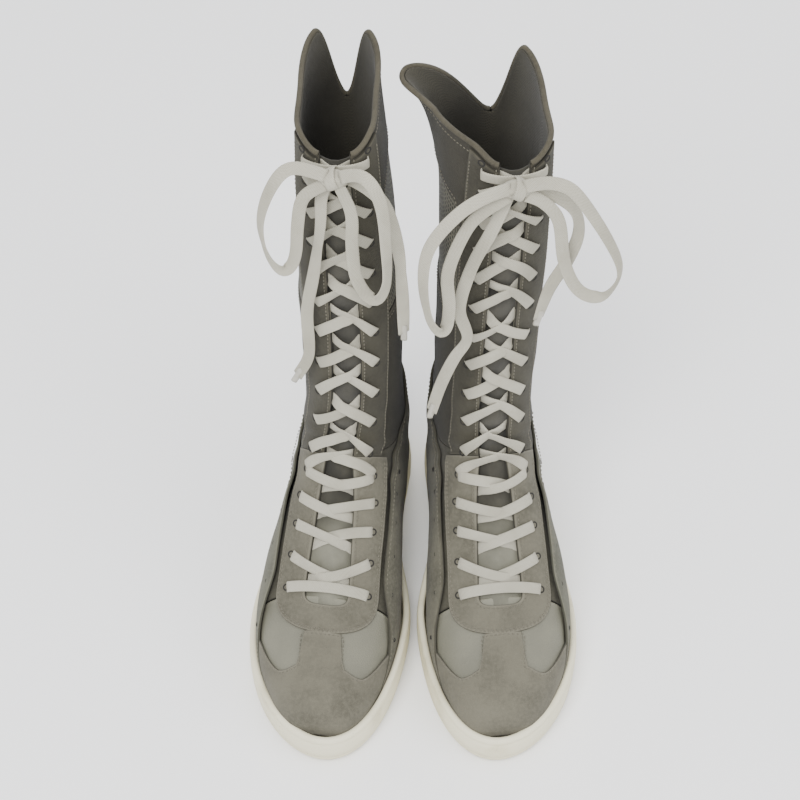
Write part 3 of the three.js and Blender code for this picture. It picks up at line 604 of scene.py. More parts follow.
# %% Tongue
def tongue_leather():
    f = Finish("tongue_leather", 0.7, sheen=0.15, specular=0.3)
    _, v = f.flat()
    shaft = f.step(v, 0.030, 0.075)
    patches = f.step(f.noise(50, 4.0), 0.3, 0.7)
    low = f.blend(patches, hide(112, 110, 94), hide(138, 136, 118))
    high = f.blend(patches, hide(50, 48, 40), hide(72, 69, 58))
    fibre = f.noise(1500, 4.0)
    return f.set(Base_Color=f.blend(shaft, low, high), Normal=f.bump(fibre, 0.0004, 0.6),
                 Roughness=0.55 + shaft * 0.35)


TONGUE = tongue_leather()

# %% [markdown]
# Cloth is drawn by its threads: two waves across the flat map cross each other, slanting in a lace
# and finer in the lining. The breathable mesh has small holes in even rows, painted near-black as
# the shade seen through them.

# %% Cloth and thread
def woven(name, light, dark, pitch, lean=1.0):
    f = Finish(name, 0.85, sheen=0.08, specular=0.2)
    u, v = f.flat()
    turns = 2 * math.pi / pitch
    warp = ((u * lean + v) * turns).sine()
    weft = ((u * lean - v) * turns).sine()
    height = warp.most(weft) * 0.5 + 0.5
    soil = f.step(f.noise(38), 0.35, 0.75)
    tone = f.blend(height * 0.7 + f.noise(900, 2.0) * 0.3, dark, light)
    tone = f.blend(soil * 0.28, tone, dark)
    return f.set(Base_Color=tone, Normal=f.bump(height, 0.0002, 0.9))


def holed_mesh(name, thread, hole, pitch):
    f = Finish(name, 0.8, sheen=0.05, specular=0.3)
    u, v = f.flat()
    turns = math.pi / pitch
    dots = ((v * turns).sine() * (u * turns).sine()).absolute()
    openings = f.step(dots, 0.35, 0.75)
    tone = f.blend(openings, thread, hole)
    tone = f.blend(f.step(f.noise(30), 0.35, 0.7) * 0.4, tone, hole)
    return f.set(Base_Color=tone, Normal=f.bump(1 - openings, 0.0005, 1.0))


LACE = woven("lace_cloth", colour(188, 184, 168), colour(118, 114, 98), 0.0016, lean=1.6)
LINING = woven("lining_cloth", colour(74, 71, 60), colour(36, 34, 28), 0.0022)
THREAD = woven("sewing_thread", colour(122, 118, 103), colour(84, 80, 68), 0.0005)
# The holes are near-black: painted shade seen through the mesh.
MESH = holed_mesh("mesh_cloth", colour(104, 101, 86), colour(14, 13, 11), 0.0034)

# %% [markdown]
# The cup sole is cream rubber with fine dark specks, scuffs, and a darker, yellower tone over its
# lowest 16 mm. Punched holes, foam and lace tips take a plain tone with some noise.


# %% Rubber, holes and hard trim
def rubber(name, light, scuff_and_low_tone):
    f = Finish(name, 0.6, specular=0.4)
    specks = (1 - f.step(f.spots("F1", 620.0), 0.06, 0.2)) * f.step(f.noise(70, 2.0), 0.5, 0.62)
    scuff = f.step(f.noise(34, 5.0), 0.48, 0.75)
    height = f.node("SeparateXYZ", {}, {0: f.place}, "Z")
    # Darker and yellower over the lowest 16 mm of height.
    low = 1 - f.step(height, 0.0, 0.016)
    tone = f.blend(scuff * 0.35 + low * 0.3, light, scuff_and_low_tone)
    tone = f.blend(specks * 0.7, tone, colour(120, 112, 92))
    rough = f.noise(700)
    return f.set(Base_Color=tone, Normal=f.bump(rough, 0.0002, 0.4), Roughness=0.5 + rough * 0.25)


def plain(name, shade, roughness):
    f = Finish(name, roughness)
    tone = f.blend(f.noise(300, 4.0), times(shade, 0.55), shade)
    return f.set(Base_Color=tone, Normal=f.bump(f.noise(900), 0.0002, 0.5))


RUBBER = rubber("sole_rubber", colour(222, 216, 188), colour(176, 165, 128))
# The punched holes are near-black all over: painted shade inside the holes.
HOLE = plain("punched_hole", colour(34, 32, 28), 0.9)
FOAM = plain("foam", colour(170, 165, 150), 0.9)
CLEAR_TIP = plain("lace_tip", colour(182, 178, 165), 0.35)
print("finishes:", len(bpy.data.materials))

# %% [markdown]
# ## Laces that hang free
#
# Each bow has two loops and two ends of flat 8 mm cord, which hang from the knot. Their routes are
# measured from it: x outward, y back and z up. A flat profile with round sides is carried along
# a smooth curve through the points, and its broad face turns slowly, as a flat lace does.

# %% Routes of the bows
ROUTES = {
    "right": {
        "loop_outer": "4 -3 4, 13 -4 8, 26 -8 12, 37 -13 -5, 43 -14 -32, 39 -13 -60, "
                      "30 -10 -74, 24 -7 -62, 22 -5 -36, 18 -4 -14, 5 -3 -3",
        "loop_inner": "-4 -3 4, -12 -5 9, -21 -9 11, -30 -14 -4, -33 -16 -36, -33 -15 -70, "
                      "-25 -12 -90, -14 -9 -76, -11 -7 -48, -11 -6 -22, -4 -4 -3",
        "end_outer": "3 3 -3, 8 1 -16, 9 -1 -40, 14 -1 -80, 20 0 -120, 20 0 -160, "
                     "28 -1 -181",
        "end_inner": "-4 3 -1, -15 2 -4, -30 0 -18, -38 -2 -50, -41 -3 -88, -42 -3 -126",
    },
    "left": {
        "loop_outer": "4 -3 4, 13 -5 8, 22 -7 9, 33 -11 4, 54 -16 -32, 63 -17 -60, "
                      "54 -15 -82, 40 -12 -79, 30 -9 -56, 25 -6 -22, 14 -4 -7, 5 -3 -3",
        "loop_inner": "-4 -3 3, -16 -5 1, -34 -9 -8, -52 -14 -30, -56 -16 -60, "
                      "-51 -15 -95, -42 -12 -109, -39 -10 -88, -40 -8 -58, -28 -6 -22, "
                      "-14 -4 -9, -5 -3 -3",
        "end_outer": "4 3 -1, 15 2 -4, 34 0 -18, 39 0 -40, 33 -1 -64, 24 -2 -84, "
                     "18 -2 -112",
        "end_inner": "-3 3 -3, -7 1 -14, -14 -1 -34, -25 -2 -62, -32 -3 -98, -26 -4 -124, "
                     "-34 -4 -142, -42 -3 -168, -48 -3 -195",
    },
}
KNOT_SECTION, KNOT_DEPTH = 15.45, 13.6
SOFTENING = 8


def smooth_path(points, spacing=2.0):
    """Catmull-Rom curve through the points, taken again at even steps along its length."""
    points = np.asarray(points, float)
    ends = np.concatenate([2 * points[:1] - points[1:2], points, 2 * points[-1:] - points[-2:-1]])
    s = np.linspace(0, len(points) - 1.0001, 40 * len(points))
    i = np.floor(s).astype(int)
    t = (s - i)[:, None]
    a, b, c, d = (ends[i + k] for k in range(4))
    fine = b + 0.5 * t * (c - a + t * (2 * a - 5 * b + 4 * c - d + t * (3 * (b - c) + d - a)))
    run = np.concatenate([[0], np.cumsum(np.linalg.norm(np.diff(fine, axis=0), axis=1))])
    even = np.linspace(0, run[-1], max(4, int(run[-1] / spacing)))
    path = np.stack([np.interp(even, run, fine[:, k]) for k in range(3)], -1)
    for _ in range(SOFTENING):
        path[1:-1] = (path[:-2] + 2 * path[1:-1] + path[2:]) / 4
    return path


def lace_profile(width=LACE_WIDTH, thick=1.5, sides=16):
    """Flat section with round sides: a superellipse, wider than it is thick."""
    t = (np.arange(sides) + 0.5) / sides * 2 * np.pi
    x = np.sign(np.cos(t)) * np.abs(np.cos(t)) ** 0.6 * width / 2
    y = np.sign(np.sin(t)) * np.abs(np.sin(t)) ** 0.75 * thick / 2
    return np.stack([x, y], -1)


def knot_centre(boot):
    return skin(boot, KNOT_SECTION, 0.01, KNOT_DEPTH)


def facing(path, turns):
    """Direction of a lace's broad face: toward the front and up, swung by angles along it."""
    angle = np.radians(np.interp(np.linspace(0, 1, len(path)), *turns))[:, None]
    front = np.array([0.0, -0.82, 0.57])
    return np.cos(angle) * front + np.sin(angle) * np.array([1.0, 0.0, 0.0])


TURNS = {
    "loop_outer": ([0, 0.2, 0.45, 0.6, 1], [-10, 25, 55, 20, -25]),
    "loop_inner": ([0, 0.2, 0.45, 0.6, 1], [10, -25, -50, -15, 20]),
    "end_outer": ([0, 0.3, 0.6, 1], [0, 35, -20, 30]),
    "end_inner": ([0, 0.3, 0.6, 1], [0, -30, 25, -35]),
}

# %% Loops and ends
for boot in BOOTS:
    for kind, route in ROUTES[boot["name"]].items():
        loop = kind.startswith("loop")
        points = [[float(v) for v in place.split()] for place in route.split(",")]
        path = smooth_path(points) + knot_centre(boot)
        shape = tube(path, facing(path, TURNS[kind]), lace_profile())
        node = ("bow_" if loop else "lace_") + kind
        piece = put(boot, "free_" + kind, shape, LACE, "lace_cloth", "shaft", node)
        tips = []
        if not loop:
            along_tip = unit(path[-1] - path[-3]) * 7
            tip = np.linspace(path[-1] - along_tip, path[-1] + 0.9 * along_tip, 12)
            ring = lace_profile(4.2, 2.9, 12)
            swell = tube(tip, np.broadcast_to([0.0, -1.0, 0.2], tip.shape), ring)
            tips = [put(boot, f"lace_tip_{kind[4:]}", swell, CLEAR_TIP, "lace_cloth", "shaft")]

# %% [markdown]
# ## Sole
#
# The cup sole is one moulding: a wall round the foot, with a soft lip on top, and a floor. Each
# ring of the mesh is its outline moved in or out at some height. Rings further in shrink onto the
# middle line.


# %% Cup sole and outsole
def outline(count=220):
    """Closed outline of the sole with its outward direction, evenly spread round the foot."""
    t = np.linspace(0, 1, count // 2 + 1)
    y = FOOT_LENGTH * (0.5 - 0.5 * np.cos(np.pi * t))
    outer = np.stack([sole_centre(y) + sole_half(y, 1), y], -1)
    inner = np.stack([sole_centre(y) - sole_half(y, -1), y], -1)[-2:0:-1]
    ring = np.concatenate([outer, inner])
    step = unit(np.roll(ring, -1, 0) - np.roll(ring, 1, 0))
    return ring, np.stack([step[:, 1], -step[:, 0]], -1)


def sole_rings(profile):
    """Rings of (move out, height, share of the way to the middle line) joined into one skin."""
    ring, out = outline()
    middle = np.stack([sole_centre(ring[:, 1]), ring[:, 1] * 0.92 + 0.04 * FOOT_LENGTH], -1)
    move, height, share = (np.array(v, float)[:, None] for v in zip(*profile))
    flat = mix(ring + out * move[..., None], middle, share[..., None])
    points = np.concatenate([flat, np.broadcast_to(height[..., None], (*flat.shape[:2], 1))], -1)
    ids = np.arange(points[..., 0].size).reshape(points.shape[:2])
    mirror = -np.arange(len(ring)) % len(ring)
    for end in (0, -1):  # an innermost ring is closed along the middle line
        ids[end] = np.minimum(ids[end], ids[end][mirror])
        points[end] = (points[end] + points[end][mirror]) / 2
    return record(points, grid_faces(ids, wrap=True), points[..., :2] * MM)


CUP = [(-12, 4.35, 1), (-12, 4.35, 0.5), (-6, 4.35, 0), (-1.6, 4.4, 0), (-0.7, 4.9, 0),
       (-0.1, 6.2, 0), (0.1, 8.0, 0), (-0.35, 8.7, 0), (0.1, 9.4, 0), (0.35, 14, 0), (0.3, 20, 0),
       (0.0, 23.4, 0), (-0.5, 24.1, 0), (-0.1, 24.8, 0), (-0.2, 26.6, 0), (-0.8, 27.8, 0),
       (-1.8, 28.4, 0), (-3.4, 28.4, 0), (-4.5, 27.7, 0), (-4.9, 26, 0), (-5, 14, 0),
       (-5.2, 8.6, 0), (-6, 8.3, 0), (-12, 8.3, 0.5), (-12, 8.3, 1)]
PLATE = [(-12, 1.3, 1), (-12, 1.3, 0.5), (-5, 1.3, 0), (-3, 1.4, 0), (-2.3, 1.8, 0), (-2, 2.6, 0),
         (-2.3, 3.7, 0), (-3, 4, 0), (-6, 4, 0), (-12, 4, 0.5), (-12, 4, 1)]


def tread():
    """Chevron bars under the outsole: each bar is a small bevelled block across half the sole."""
    bars = []
    for y in np.arange(20, 282, 9.0):
        for side in (1, -1):
            reach = float(np.minimum(sole_half(y, side), sole_half(y + 7, side))) - 7
            t = np.linspace(0.04, 1, 7)
            x = float(sole_centre(y)) + side * reach * t
            path = np.stack([x, y + 7 * t, np.full(7, 0.75)], -1)
            block = np.array([[2.6, 0.75], [-2.6, 0.75], [-2.1, -0.75], [2.1, -0.75]])
            bars.append(tube(path, np.broadcast_to([0.0, 0.0, 1.0], path.shape), block))
    return joined(bars)


for boot in BOOTS:
    put(boot, "cup_sole", sole_rings(CUP), RUBBER, "sole_rubber", "foot", "cupsole")
    put(boot, "tread_sole", sole_rings(PLATE), RUBBER, "sole_rubber", "foot", "outsole")
    put(boot, "tread_bars", tread(), RUBBER, "sole_rubber", "foot")
print("soles made, wall top at", SOLE_TOP, "mm")

# %% [markdown]
# ## The upper, layer by layer
#
# Panels lie over each other as a shoemaker lays them: lining, base leather, suede overlays. A
# panel is a function from a unit square to section and angle, so its cut edges are curves on the
# skin. Panels that cross the ankle are fixed in place, joined to neither the foot nor the shaft.

# %% Depths of the layers and shared edges
LEATHER = 1.5
LINING_START, BASE, OVERLAY = 0.0, 1.4, 3.3
SADDLE = 1.9
FLAP = BASE + 0.1
SIDES = ((1, "outer"), (-1, "inner"))
SOLE_SIDE = 150.0  # the angle at which a panel of the toe goes under the foot


def seam_height(angle):
    """Section of the seam between foot and shaft: low at the front, lower behind the ankle."""
    return mix(8.0, 10.8, ramp(np.abs(angle), 20, 170))


def mesh_top(angle):
    """Upper edge of the mesh panel: it sinks toward the eyelets, and a little behind the notch."""
    a = np.abs(angle)
    return 14.75 - 1.3 * (1 - ramp(a, 26, 62)) - 0.33 * ramp(a, 105, 160)


def value(edge, x):
    """An edge of a panel is a number, or a function of the other coordinate."""
    return edge(x) if callable(edge) else edge + 0 * x


def between(low, high, near, far):
    """A panel between two sections and two angles, found by going round four times."""
    def place(p, q):
        a = 90 + 0 * p
        for _ in range(4):
            s = mix(value(low, a), value(high, a), p)
            a = mix(value(near, s), value(far, s), q)
        return s, a
    return place


# %% Toe, vamp and apron
def toe_back(a):
    """Back edge of the toe cap: a tab in the middle, a window on each side, then up to the side."""
    a = np.abs(a)
    tab = 0.75 * (1 - ramp(a, 19, 22.5))
    return 2.62 - 0.1 * ramp(a, 22, 40) + tab + 0.95 * ramp(a, 46, 84)


def apron(p, q):
    """A band round the throat, from its U-shaped inner edge (p=0) to its outer edge (p=1)."""
    arm = np.clip((np.abs(q - 0.5) - 0.19) / 0.31, 0, 1)
    angle = np.pi / 2 * np.clip((q - 0.5) / 0.19, -1, 1)
    up, across, down = mix(4.22, 7.96, arm), np.sin(angle), np.cos(angle)
    inner = throat(up) * np.sign(across) * np.abs(across) ** 0.7
    s = mix(up - 0.34 * down ** 0.5, up - 0.9 * down ** 0.8, p)
    return s, mix(inner, band(up) * across, p)


def crown(p, q):
    """The tongue bulges into the gap between the eyelet edges."""
    return 2.6 * np.sin(np.pi * q) ** 4 - 0.9 * ramp(p, 0.1, 0.4)


TONGUE_SIDE = 9.0  # degrees by which the tongue goes on under the eyelet edges
for boot in BOOTS:
    vamp = shell(boot, between(0, 4.05, -SOLE_SIDE, SOLE_SIDE), BASE, LEATHER, 3.2)
    put(boot, "vamp_leather", vamp, SMOOTH, "smooth_leather", "foot", "vamp")
    toe = shell(boot, between(0, toe_back, -SOLE_SIDE, SOLE_SIDE), OVERLAY, LEATHER, 2.2)
    put(boot, "toe_suede", toe, GREY_SUEDE, "grey_suede", "foot", "toe_cap")
    put(boot, "apron_suede", shell(boot, apron, OVERLAY, LEATHER, 2.2), GREY_SUEDE, "grey_suede",
        "ankle", "apron")
    sides = (lambda s: -throat(s) - TONGUE_SIDE), (lambda s: throat(s) + TONGUE_SIDE)
    tongue = shell(boot, between(3.8, 15.5, *sides), -0.9, 1.9, 3.0, crown)
    put(boot, "tongue", tongue, TONGUE, "smooth_leather", "ankle", "tongue_lower", "tongue_upper")
print("toe, vamp, apron and tongue made")


# %% [markdown]
# The suede quarters stand clear of the eyelet strips with a thick free edge, and carry a spare row
# of eyelets. The free edge is lifted 3 mm, fading out at both ends and away from the edge.

# %% Quarters and shaft panels
def quarter_edge(s):
    """Angle of the free edge: from the toe's side, in to the eyelets, and out over the ankle."""
    inward = mix(92, band(np.minimum(s, 7.5)) + 1.5, ramp(s, 2.4, 4.7))
    return mix(inward, 84, ramp(s, 6.6, 10.2))


FREE_LIFT = 3.0


def free_edge(side):
    def lift(p, q):
        from_edge = q if side > 0 else 1 - q
        along_edge = ramp(p, 0.02, 0.3) * (1 - ramp(p, 0.6, 0.95))
        return FREE_LIFT * np.exp(-((from_edge / 0.13) ** 1.4)) * along_edge
    return lift


def span(side, *edges):
    """The two angle edges of a panel on one side, in rising order."""
    near, far = ((lambda s, edge=edge: side * value(edge, s)) for edge in edges)
    return (near, far) if side > 0 else (far, near)


def facing_edge(s):
    return mix(throat(s), 180, 0.2)


def quarter_top(a):
    return seam_height(a) + 0.18


BACK_SEAM, SADDLE_BACK = 179.6, 179.2
VAMP_BACK, QUARTER_START, VENT_START, STRIP_START, STRAP_START = 4.07, 2.72, 12.97, 8.0, 8.6
for boot in BOOTS:
    for side, label in SIDES:
        edges = span(side, throat, BACK_SEAM)
        low = shell(boot, between(VAMP_BACK, seam_height, *edges), BASE, LEATHER, 3.4)
        put(boot, f"quarter_leather_{label}", low, QUARTER_BASE, "smooth_leather", "ankle",
            f"quarter_{label}")
        wall = between(QUARTER_START, quarter_top, *span(side, quarter_edge, SADDLE_BACK))
        saddle = shell(boot, wall, OVERLAY, SADDLE, 2.6, free_edge(side))
        put(boot, f"quarter_suede_{label}", saddle, PALE_SUEDE if side > 0 else QUARTER_EDGE,
            "pale_suede", "ankle", f"overlay_{label}")
        calf = between(lambda a: seam_height(a) + 0.03, 13, *edges)
        put(boot, f"calf_suede_{label}", shell(boot, calf, BASE, LEATHER, 3.2), DARK_SUEDE,
            "dark_suede", "ankle", f"calf_panel_{label}")
        vent = shell(boot, between(VENT_START, mesh_top, *edges), BASE - 0.35, 1.2, 2.6)
        put(boot, f"mesh_cloth_{label}", vent, MESH, "mesh_cloth", "shaft", f"mesh_panel_{label}")
        flap = between(lambda a: mesh_top(a) - 0.12, collar_top, *edges)
        put(boot, f"collar_suede_{label}", shell(boot, flap, FLAP, LEATHER, 2.8), DARK_SUEDE,
            "dark_suede", "shaft", f"collar_{label}")
        sides = span(side, throat, facing_edge)
        strip = between(STRIP_START, lambda a: collar_top(a) - 0.06, *sides)
        put(boot, f"eyelet_strip_{label}", shell(boot, strip, OVERLAY, LEATHER, 2.6), SHAFT_SUEDE,
            "grey_suede", "ankle", f"facing_{label}")
    back = between(STRAP_START, lambda a: collar_top(a) - 0.02, 165.5, 194.5)
    put(boot, "back_strap", shell(boot, back, OVERLAY, LEATHER, 2.6), DARK_SUEDE, "dark_suede",
        "ankle", "back_strip")
    inside = between(6.6, lambda a: collar_top(np.where(a > 180, 360 - a, a)) - 0.03,
                     lambda s: throat(s) + 1, lambda s: 359 - throat(s))
    put(boot, "lining", shell(boot, inside, LINING_START, 1.0, 3.4), LINING, "lining_cloth",
        "ankle", "shaft_lining")
print("quarters, panels, collars and linings made")

# %% [markdown]
# ## Binding, stitches and eyelets
#
# The collar's raw edge is wrapped in a narrow binding. Seams are rows of stitches, each a little
# grain of thread that dips into the leather at both ends. An eyelet is a lipped hole.


# %% Binding and stitch rows
def binding(boot, side):
    """Round cord of leather along the top edge of the collar."""
    a = np.linspace(float(throat(15.9)) + 1, 179.4, 150)
    path = skin(boot, collar_top(a), side * a, FLAP + LEATHER / 2)
    up = outward(boot, collar_top(a), side * a)
    t = (np.arange(12) + 0.5) / 12 * 2 * np.pi
    return tube(path, up, np.stack([1.5 * np.cos(t), 1.7 * np.sin(t)], -1))


# rings of a stitch: place along it, half thickness and height over the leather
GRAIN = [(-0.5, 0.12, -0.25), (-0.28, 0.36, 0.1), (0.28, 0.36, 0.1), (0.5, 0.12, -0.25)]


def stitches(boot, s, a, depth, pitch=3.0, length=2.1):
    """Grains of thread along a line on the skin: four rings each, thick in the middle."""
    run = np.linalg.norm(np.diff(skin(boot, s, a, depth), axis=0), axis=1)
    run = np.concatenate([[0], np.cumsum(run)])
    at = np.arange(pitch / 2, run[-1] - pitch / 2, pitch)
    depth = depth + 0 * s
    spot = lambda x: (np.interp(x, run, s), np.interp(x, run, a))
    seat = lambda x: skin(boot, *spot(x), np.interp(x, run, depth))
    rings = []
    out = outward(boot, *spot(at))
    direction = unit(seat(at + 0.5) - seat(at - 0.5))
    across = np.cross(direction, out)
    for place, size, lift in GRAIN:
        centre = seat(at + place * length) + out * lift
        for x, z in ((1, 0), (0, 1), (-1, 0), (0, -1)):
            rings.append(centre + across * (x * size) + out * (z * size))
    points = np.stack(rings, 1)
    ids = np.arange(16).reshape(4, 4)
    one = np.concatenate([grid_faces(ids, wrap=True), [[3, 2, 1, 0], [12, 13, 14, 15]]])
    faces = (one[None] + 16 * np.arange(len(at))[:, None, None]).reshape(-1, 4)
    return record(points, faces, np.stack([ids // 4, ids % 4], -1).reshape(16, 2) * 0.0003)


def line(*ends, count=120):
    """Values along a line from one to the other."""
    return np.linspace(*ends, count)


def sewn(boot, name, seams):
    """Every seam of a list, each given as section, angle and depth, in one piece."""
    rows = joined([stitches(boot, *seam) for seam in seams])
    put(boot, name, rows, THREAD, "lace_cloth", "ankle")


FACE = OVERLAY + LEATHER
for boot in BOOTS:
    a, q = line(-75, 75), line(0.02, 0.98, count=400)
    seams = [(toe_back(a) - 0.07, a, FACE)]
    seams += [(*apron(p + 0 * q, q), FACE) for p in (0.94, 0.87, 0.12)]
    s, a = line(3.0, 9.4), line(86, 176)
    p = (s - QUARTER_START) / 7
    lift = 0.86 * FREE_LIFT * ramp(p, 0.02, 0.3) * (1 - ramp(p, 0.6, 0.95))
    for side, label in SIDES:
        seams += [(s, side * (quarter_edge(s) + 3), OVERLAY + SADDLE + lift),
                  (quarter_top(a) - 0.12, side * a, OVERLAY + SADDLE)]
    sewn(boot, "foot_stitching", seams)
    seams = []
    s, back = line(8.1, 15.6, count=300), line(9, 14.4, count=300)
    seam, edge = line(48, 163, count=300), line(16, 176, count=300)
    for side, label in SIDES:
        seams += [(s, side * (facing_edge(s) - 2.5), FACE), (s, side * (throat(s) + 3), FACE),
                  (back, side * (168 + 0 * back), FACE),
                  (12.9 + 0 * seam, side * seam, BASE + LEATHER),
                  (mesh_top(seam) - 0.04, side * seam, FLAP + LEATHER),
                  (collar_top(edge) - 0.17, side * edge, FLAP + LEATHER)]
        put(boot, f"collar_binding_{label}", binding(boot, side), BINDING, "pale_suede", "shaft")
    sewn(boot, "shaft_stitching", seams)
print("binding and stitching made")

# %% Eyelets
def even_rows(low, high, count):
    """Sections at even heights up the front of the boot."""
    s = np.linspace(low, high, 400)
    z = along(FRONT_Z, s)
    return np.interp(np.linspace(z[0], z[-1], count), z, s)


FOOT_ROWS = even_rows(4.22, 7.0, 5)
SHAFT_ROWS = even_rows(8.1, 15.1, 10)
SPARE_ROWS = np.linspace(3.7, 7.4, 6)
HOLE_PROFILE = [(0, -0.8), (2.5, -0.7), (2.7, -0.35), (2.45, 0.2), (2.1, 0.38), (1.7, 0.25),
                (1.45, -0.1), (0, -0.25)]


def punched(boot, s, angle, depth, size=1.0):
    """A lipped hole at each place: a small profile turned about the skin's normal."""
    s, angle, depth = np.broadcast_arrays(s, angle, depth)
    centre = skin(boot, s, angle, depth)[:, None, None]
    out = outward(boot, s, angle)[:, None, None]
    side = unit(np.cross(out, np.array([0.3, 0.1, 1.0])))
    other = np.cross(out, side)
    t = (np.arange(14) / 14 * 2 * np.pi)[None, None, :, None]
    r, z = (np.array(v)[None, :, None, None] * size for v in zip(*HOLE_PROFILE))
    points = centre + (side * np.cos(t) + other * np.sin(t)) * r + out * z
    ids = np.arange(len(HOLE_PROFILE) * 14).reshape(-1, 14)
    count = ids.size
    ids[0], ids[-1] = ids[0, 0], ids[-1, 0]
    one = grid_faces(ids, wrap=True)
    faces = (one[None] + count * np.arange(len(s))[:, None, None]).reshape(-1, 4)
    return record(points, faces)


for boot in BOOTS:
    spots = []
    lift = 0.57 * FREE_LIFT * ramp((SPARE_ROWS - QUARTER_START) / 6, 0.02, 0.3)
    for side, label in SIDES:
        for some in (FOOT_ROWS, SHAFT_ROWS, np.array([15.6])):
            spots.append(punched(boot, some, side * eyelet(some), FACE))
        spots.append(punched(boot, SPARE_ROWS, side * (quarter_edge(SPARE_ROWS) + 9.5),
                             OVERLAY + SADDLE + lift, 0.6))
    put(boot, "eyelets", joined(spots), HOLE, "dark_suede", "ankle")
print("eyelets:", 2 * 2 * (len(FOOT_ROWS) + len(SHAFT_ROWS) + 1 + len(SPARE_ROWS)))

# %% [markdown]
# ## Lacing
#
# A flat lace starts as a straight bar across the bottom holes and crosses at every row. On the foot
# a run comes up from under one edge of the throat and dives into the next hole on the other side.
# On the shaft it leaves a hole and slips under the other edge. The runs are rolled and bowed a
# little by a seeded generator, so they are the same each time.

# %% Lacing of the foot and shaft
chance = np.random.default_rng(7)


def run_of_lace(boot, s_from, s_to, side, over):
    """From under the edge on -side at s_from to the hole on +side at s_to."""
    t = np.linspace(0, 1, 26)
    sag, roll = chance.uniform(-0.2, 0.2), chance.uniform(-32, 32)
    start, stop = -side * (throat(s_from) + 4), side * eyelet(s_to)
    angle = mix(start, stop, t)
    s = mix(s_from, s_to, t) - (0.16 + sag) * np.sin(np.pi * t) * (s_to - s_from)
    height = np.interp(t, [0, 0.12, 0.3, 0.5, 0.78, 0.93, 1],
                       [0.6, 1.6, 4.4 + over, 5.6 + over, 6.4, 6.1, 3.6])
    path = skin(boot, s, angle, height)
    out = outward(boot, s, angle)
    tilt = np.radians(roll * np.sin(np.pi * t))[:, None]
    up = out * np.cos(tilt) + np.cross(unit(np.gradient(path, axis=0)), out) * np.sin(tilt)
    return tube(path, up, lace_profile(LACE_WIDTH * 0.95, 1.3, 12))


def straight_bar(boot, s, height=6.3):
    """A bar from hole to hole, diving at both ends."""
    t = np.linspace(-1, 1, 30)
    angle = t * float(eyelet(s))
    depth = np.interp(np.abs(t), [0, 0.8, 0.95, 1], [height, height, height - 0.4, height - 2.8])
    path = skin(boot, s, angle, depth)
    return tube(path, outward(boot, s + 0 * t, angle), lace_profile(LACE_WIDTH * 0.95, 1.3, 12))


def lacing(boot, rows, first_bar):
    """Two crossing runs between each pair of rows, and a bar below them on the foot."""
    runs = [straight_bar(boot, rows[0])] if first_bar else []
    for i in range(len(rows) - 1):
        low, high = rows[i], rows[i + 1]
        for side, over in ((1, 1.3), (-1, 0.0)) if i % 2 else ((1, 0.0), (-1, 1.3)):
            # on the foot a run starts at the hidden edge, on the shaft it ends there
            ends = (low + 0.12, high) if first_bar else (high - 0.1 * (high - low), low)
            runs.append(run_of_lace(boot, *ends, side, over))
    return joined(runs)


for boot in BOOTS:
    low = lacing(boot, FOOT_ROWS, True)
    put(boot, "foot_lacing", low, LACE, "lace_cloth", "ankle", "foot_lace")
    high = lacing(boot, np.concatenate([FOOT_ROWS[-1:], SHAFT_ROWS, [KNOT_SECTION]]), False)
    put(boot, "shaft_lacing", high, LACE, "lace_cloth", "ankle", "shaft_lace")
print("lacing made")


# %% [markdown]
# ## The knot of the bow
#
# A bow's knot is a bundle of lace, an egg with soft ridges, and a flat ring drawn tight round its
# waist. A second, lower ring is the first half of the knot.

# %% Knots
def bundle(centre, size):
    """An egg whose radius ripples with the angle, as strands side by side do."""
    u, v = np.meshgrid(np.linspace(0, np.pi, 25), np.linspace(0, 2 * np.pi, 37)[:-1], indexing="ij")
    ripple = 1 + 0.07 * np.cos(5 * v) * np.sin(u)
    points = np.stack([np.cos(u) + 0 * v, np.sin(u) * np.cos(v) * ripple,
                       np.sin(u) * np.sin(v) * ripple], -1) * size + centre
    ids = np.arange(u.size).reshape(u.shape)
    ids[0], ids[-1] = ids[0, 0], ids[-1, 0]
    return record(points, grid_faces(ids, wrap=True), np.stack([v * size[1], u * size[0]], -1) * MM)


def ring_round(centre, radii, tilt, width):
    """A flat ring about the x axis, tilted about the y axis."""
    t = np.linspace(0, 2 * np.pi, 49)[:-1]
    out = np.stack([0.35 * np.sin(t), np.cos(t), np.sin(t)], -1)
    path = np.stack([0 * t + 0.8 * np.sin(t), radii[0] * np.cos(t), radii[1] * np.sin(t)], -1)
    c, s = math.cos(math.radians(tilt)), math.sin(math.radians(tilt))
    turn = np.array([[c, 0, s], [0, 1, 0], [-s, 0, c]])
    return tube(path @ turn.T + centre, out @ turn.T, lace_profile(width, 1.6, 14), closed=True)


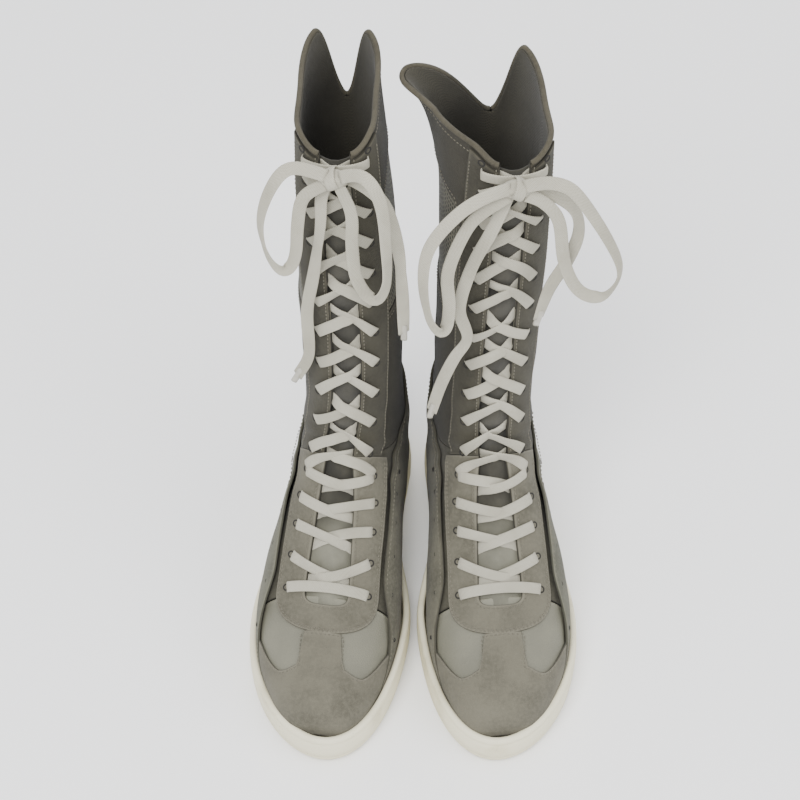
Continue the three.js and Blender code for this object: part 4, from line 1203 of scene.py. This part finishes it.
for boot in BOOTS:
    centre = knot_centre(boot)
    parts = [bundle(centre, np.array([9.5, 6.2, 5.2])),
             ring_round(centre + (0.5, 0, 0), (6.6, 5.8), 14, 7.0),
             ring_round(centre + (-1, 4.5, -3.5), (5.6, 4.2), 62, 6.0),
             straight_bar(boot, KNOT_SECTION, 7.0)]
    put(boot, "bow_knot", joined(parts), LACE, "lace_cloth", "shaft")
print("knots made")

# %% [markdown]
# ## Hidden pieces that keep their own shape
#
# The midsole, sockliner and heel stiffener are right as they are in the frame, and take foam.

# %% Finishes of the carried-over pieces
for node, piece in frame["nodes"].items():
    if node.split("_", 1)[1] in ("midsole", "sockliner", "heel_counter"):
        piece.data.materials.clear()
        piece.data.materials.append(FOAM)
print("carried over: midsole, sockliner, heel counter")

# %% [markdown]
# ## Floor and light
#
# A pale floor, a broad soft lamp high in front, two weaker ones and a bright room all round, so
# that shadows stay faint.

# %% Floor, lamps and room
floor_mesh = bpy.data.meshes.new("floor")
floor_mesh.from_pydata([(-4, -4, 0), (4, -4, 0), (4, 4, 0), (-4, 4, 0)], [], [(0, 1, 2, 3)])
floor = bpy.data.objects.new("floor", floor_mesh)
bpy.context.scene.collection.objects.link(floor)
floor_finish = Finish("pale_floor", 0.8)
tone = floor_finish.blend(floor_finish.noise(3, 2.0), colour(251, 251, 250), colour(254, 254, 253))
floor_mesh.materials.append(floor_finish.set(Base_Color=tone))


def lamp(name, place, size, power):
    """A soft square lamp aimed at the middle of the boots."""
    light = bpy.data.lights.new(name, "AREA")
    light.shape, light.size, light.energy = "SQUARE", size, power
    item = bpy.data.objects.new(name, light)
    item.location = place
    aim = np.array([0, 0, 0.2]) - np.array(place)
    item.rotation_euler = (math.acos(-aim[2] / np.linalg.norm(aim)), 0,
                           math.atan2(aim[1], aim[0]) - math.pi / 2)
    bpy.context.scene.collection.objects.link(item)


lamp("key", (-0.5, -1.3, 2.2), 1.3, 72)
lamp("fill", (1.6, -0.8, 1.5), 1.6, 20)
lamp("rim", (0.2, 1.8, 1.8), 1.6, 14)

world = bpy.data.worlds.new("room")
world.use_nodes = True
world.node_tree.nodes["Background"].inputs[0].default_value = (0.95, 0.96, 1.0, 1)
world.node_tree.nodes["Background"].inputs[1].default_value = 1.2
bpy.context.scene.world = world
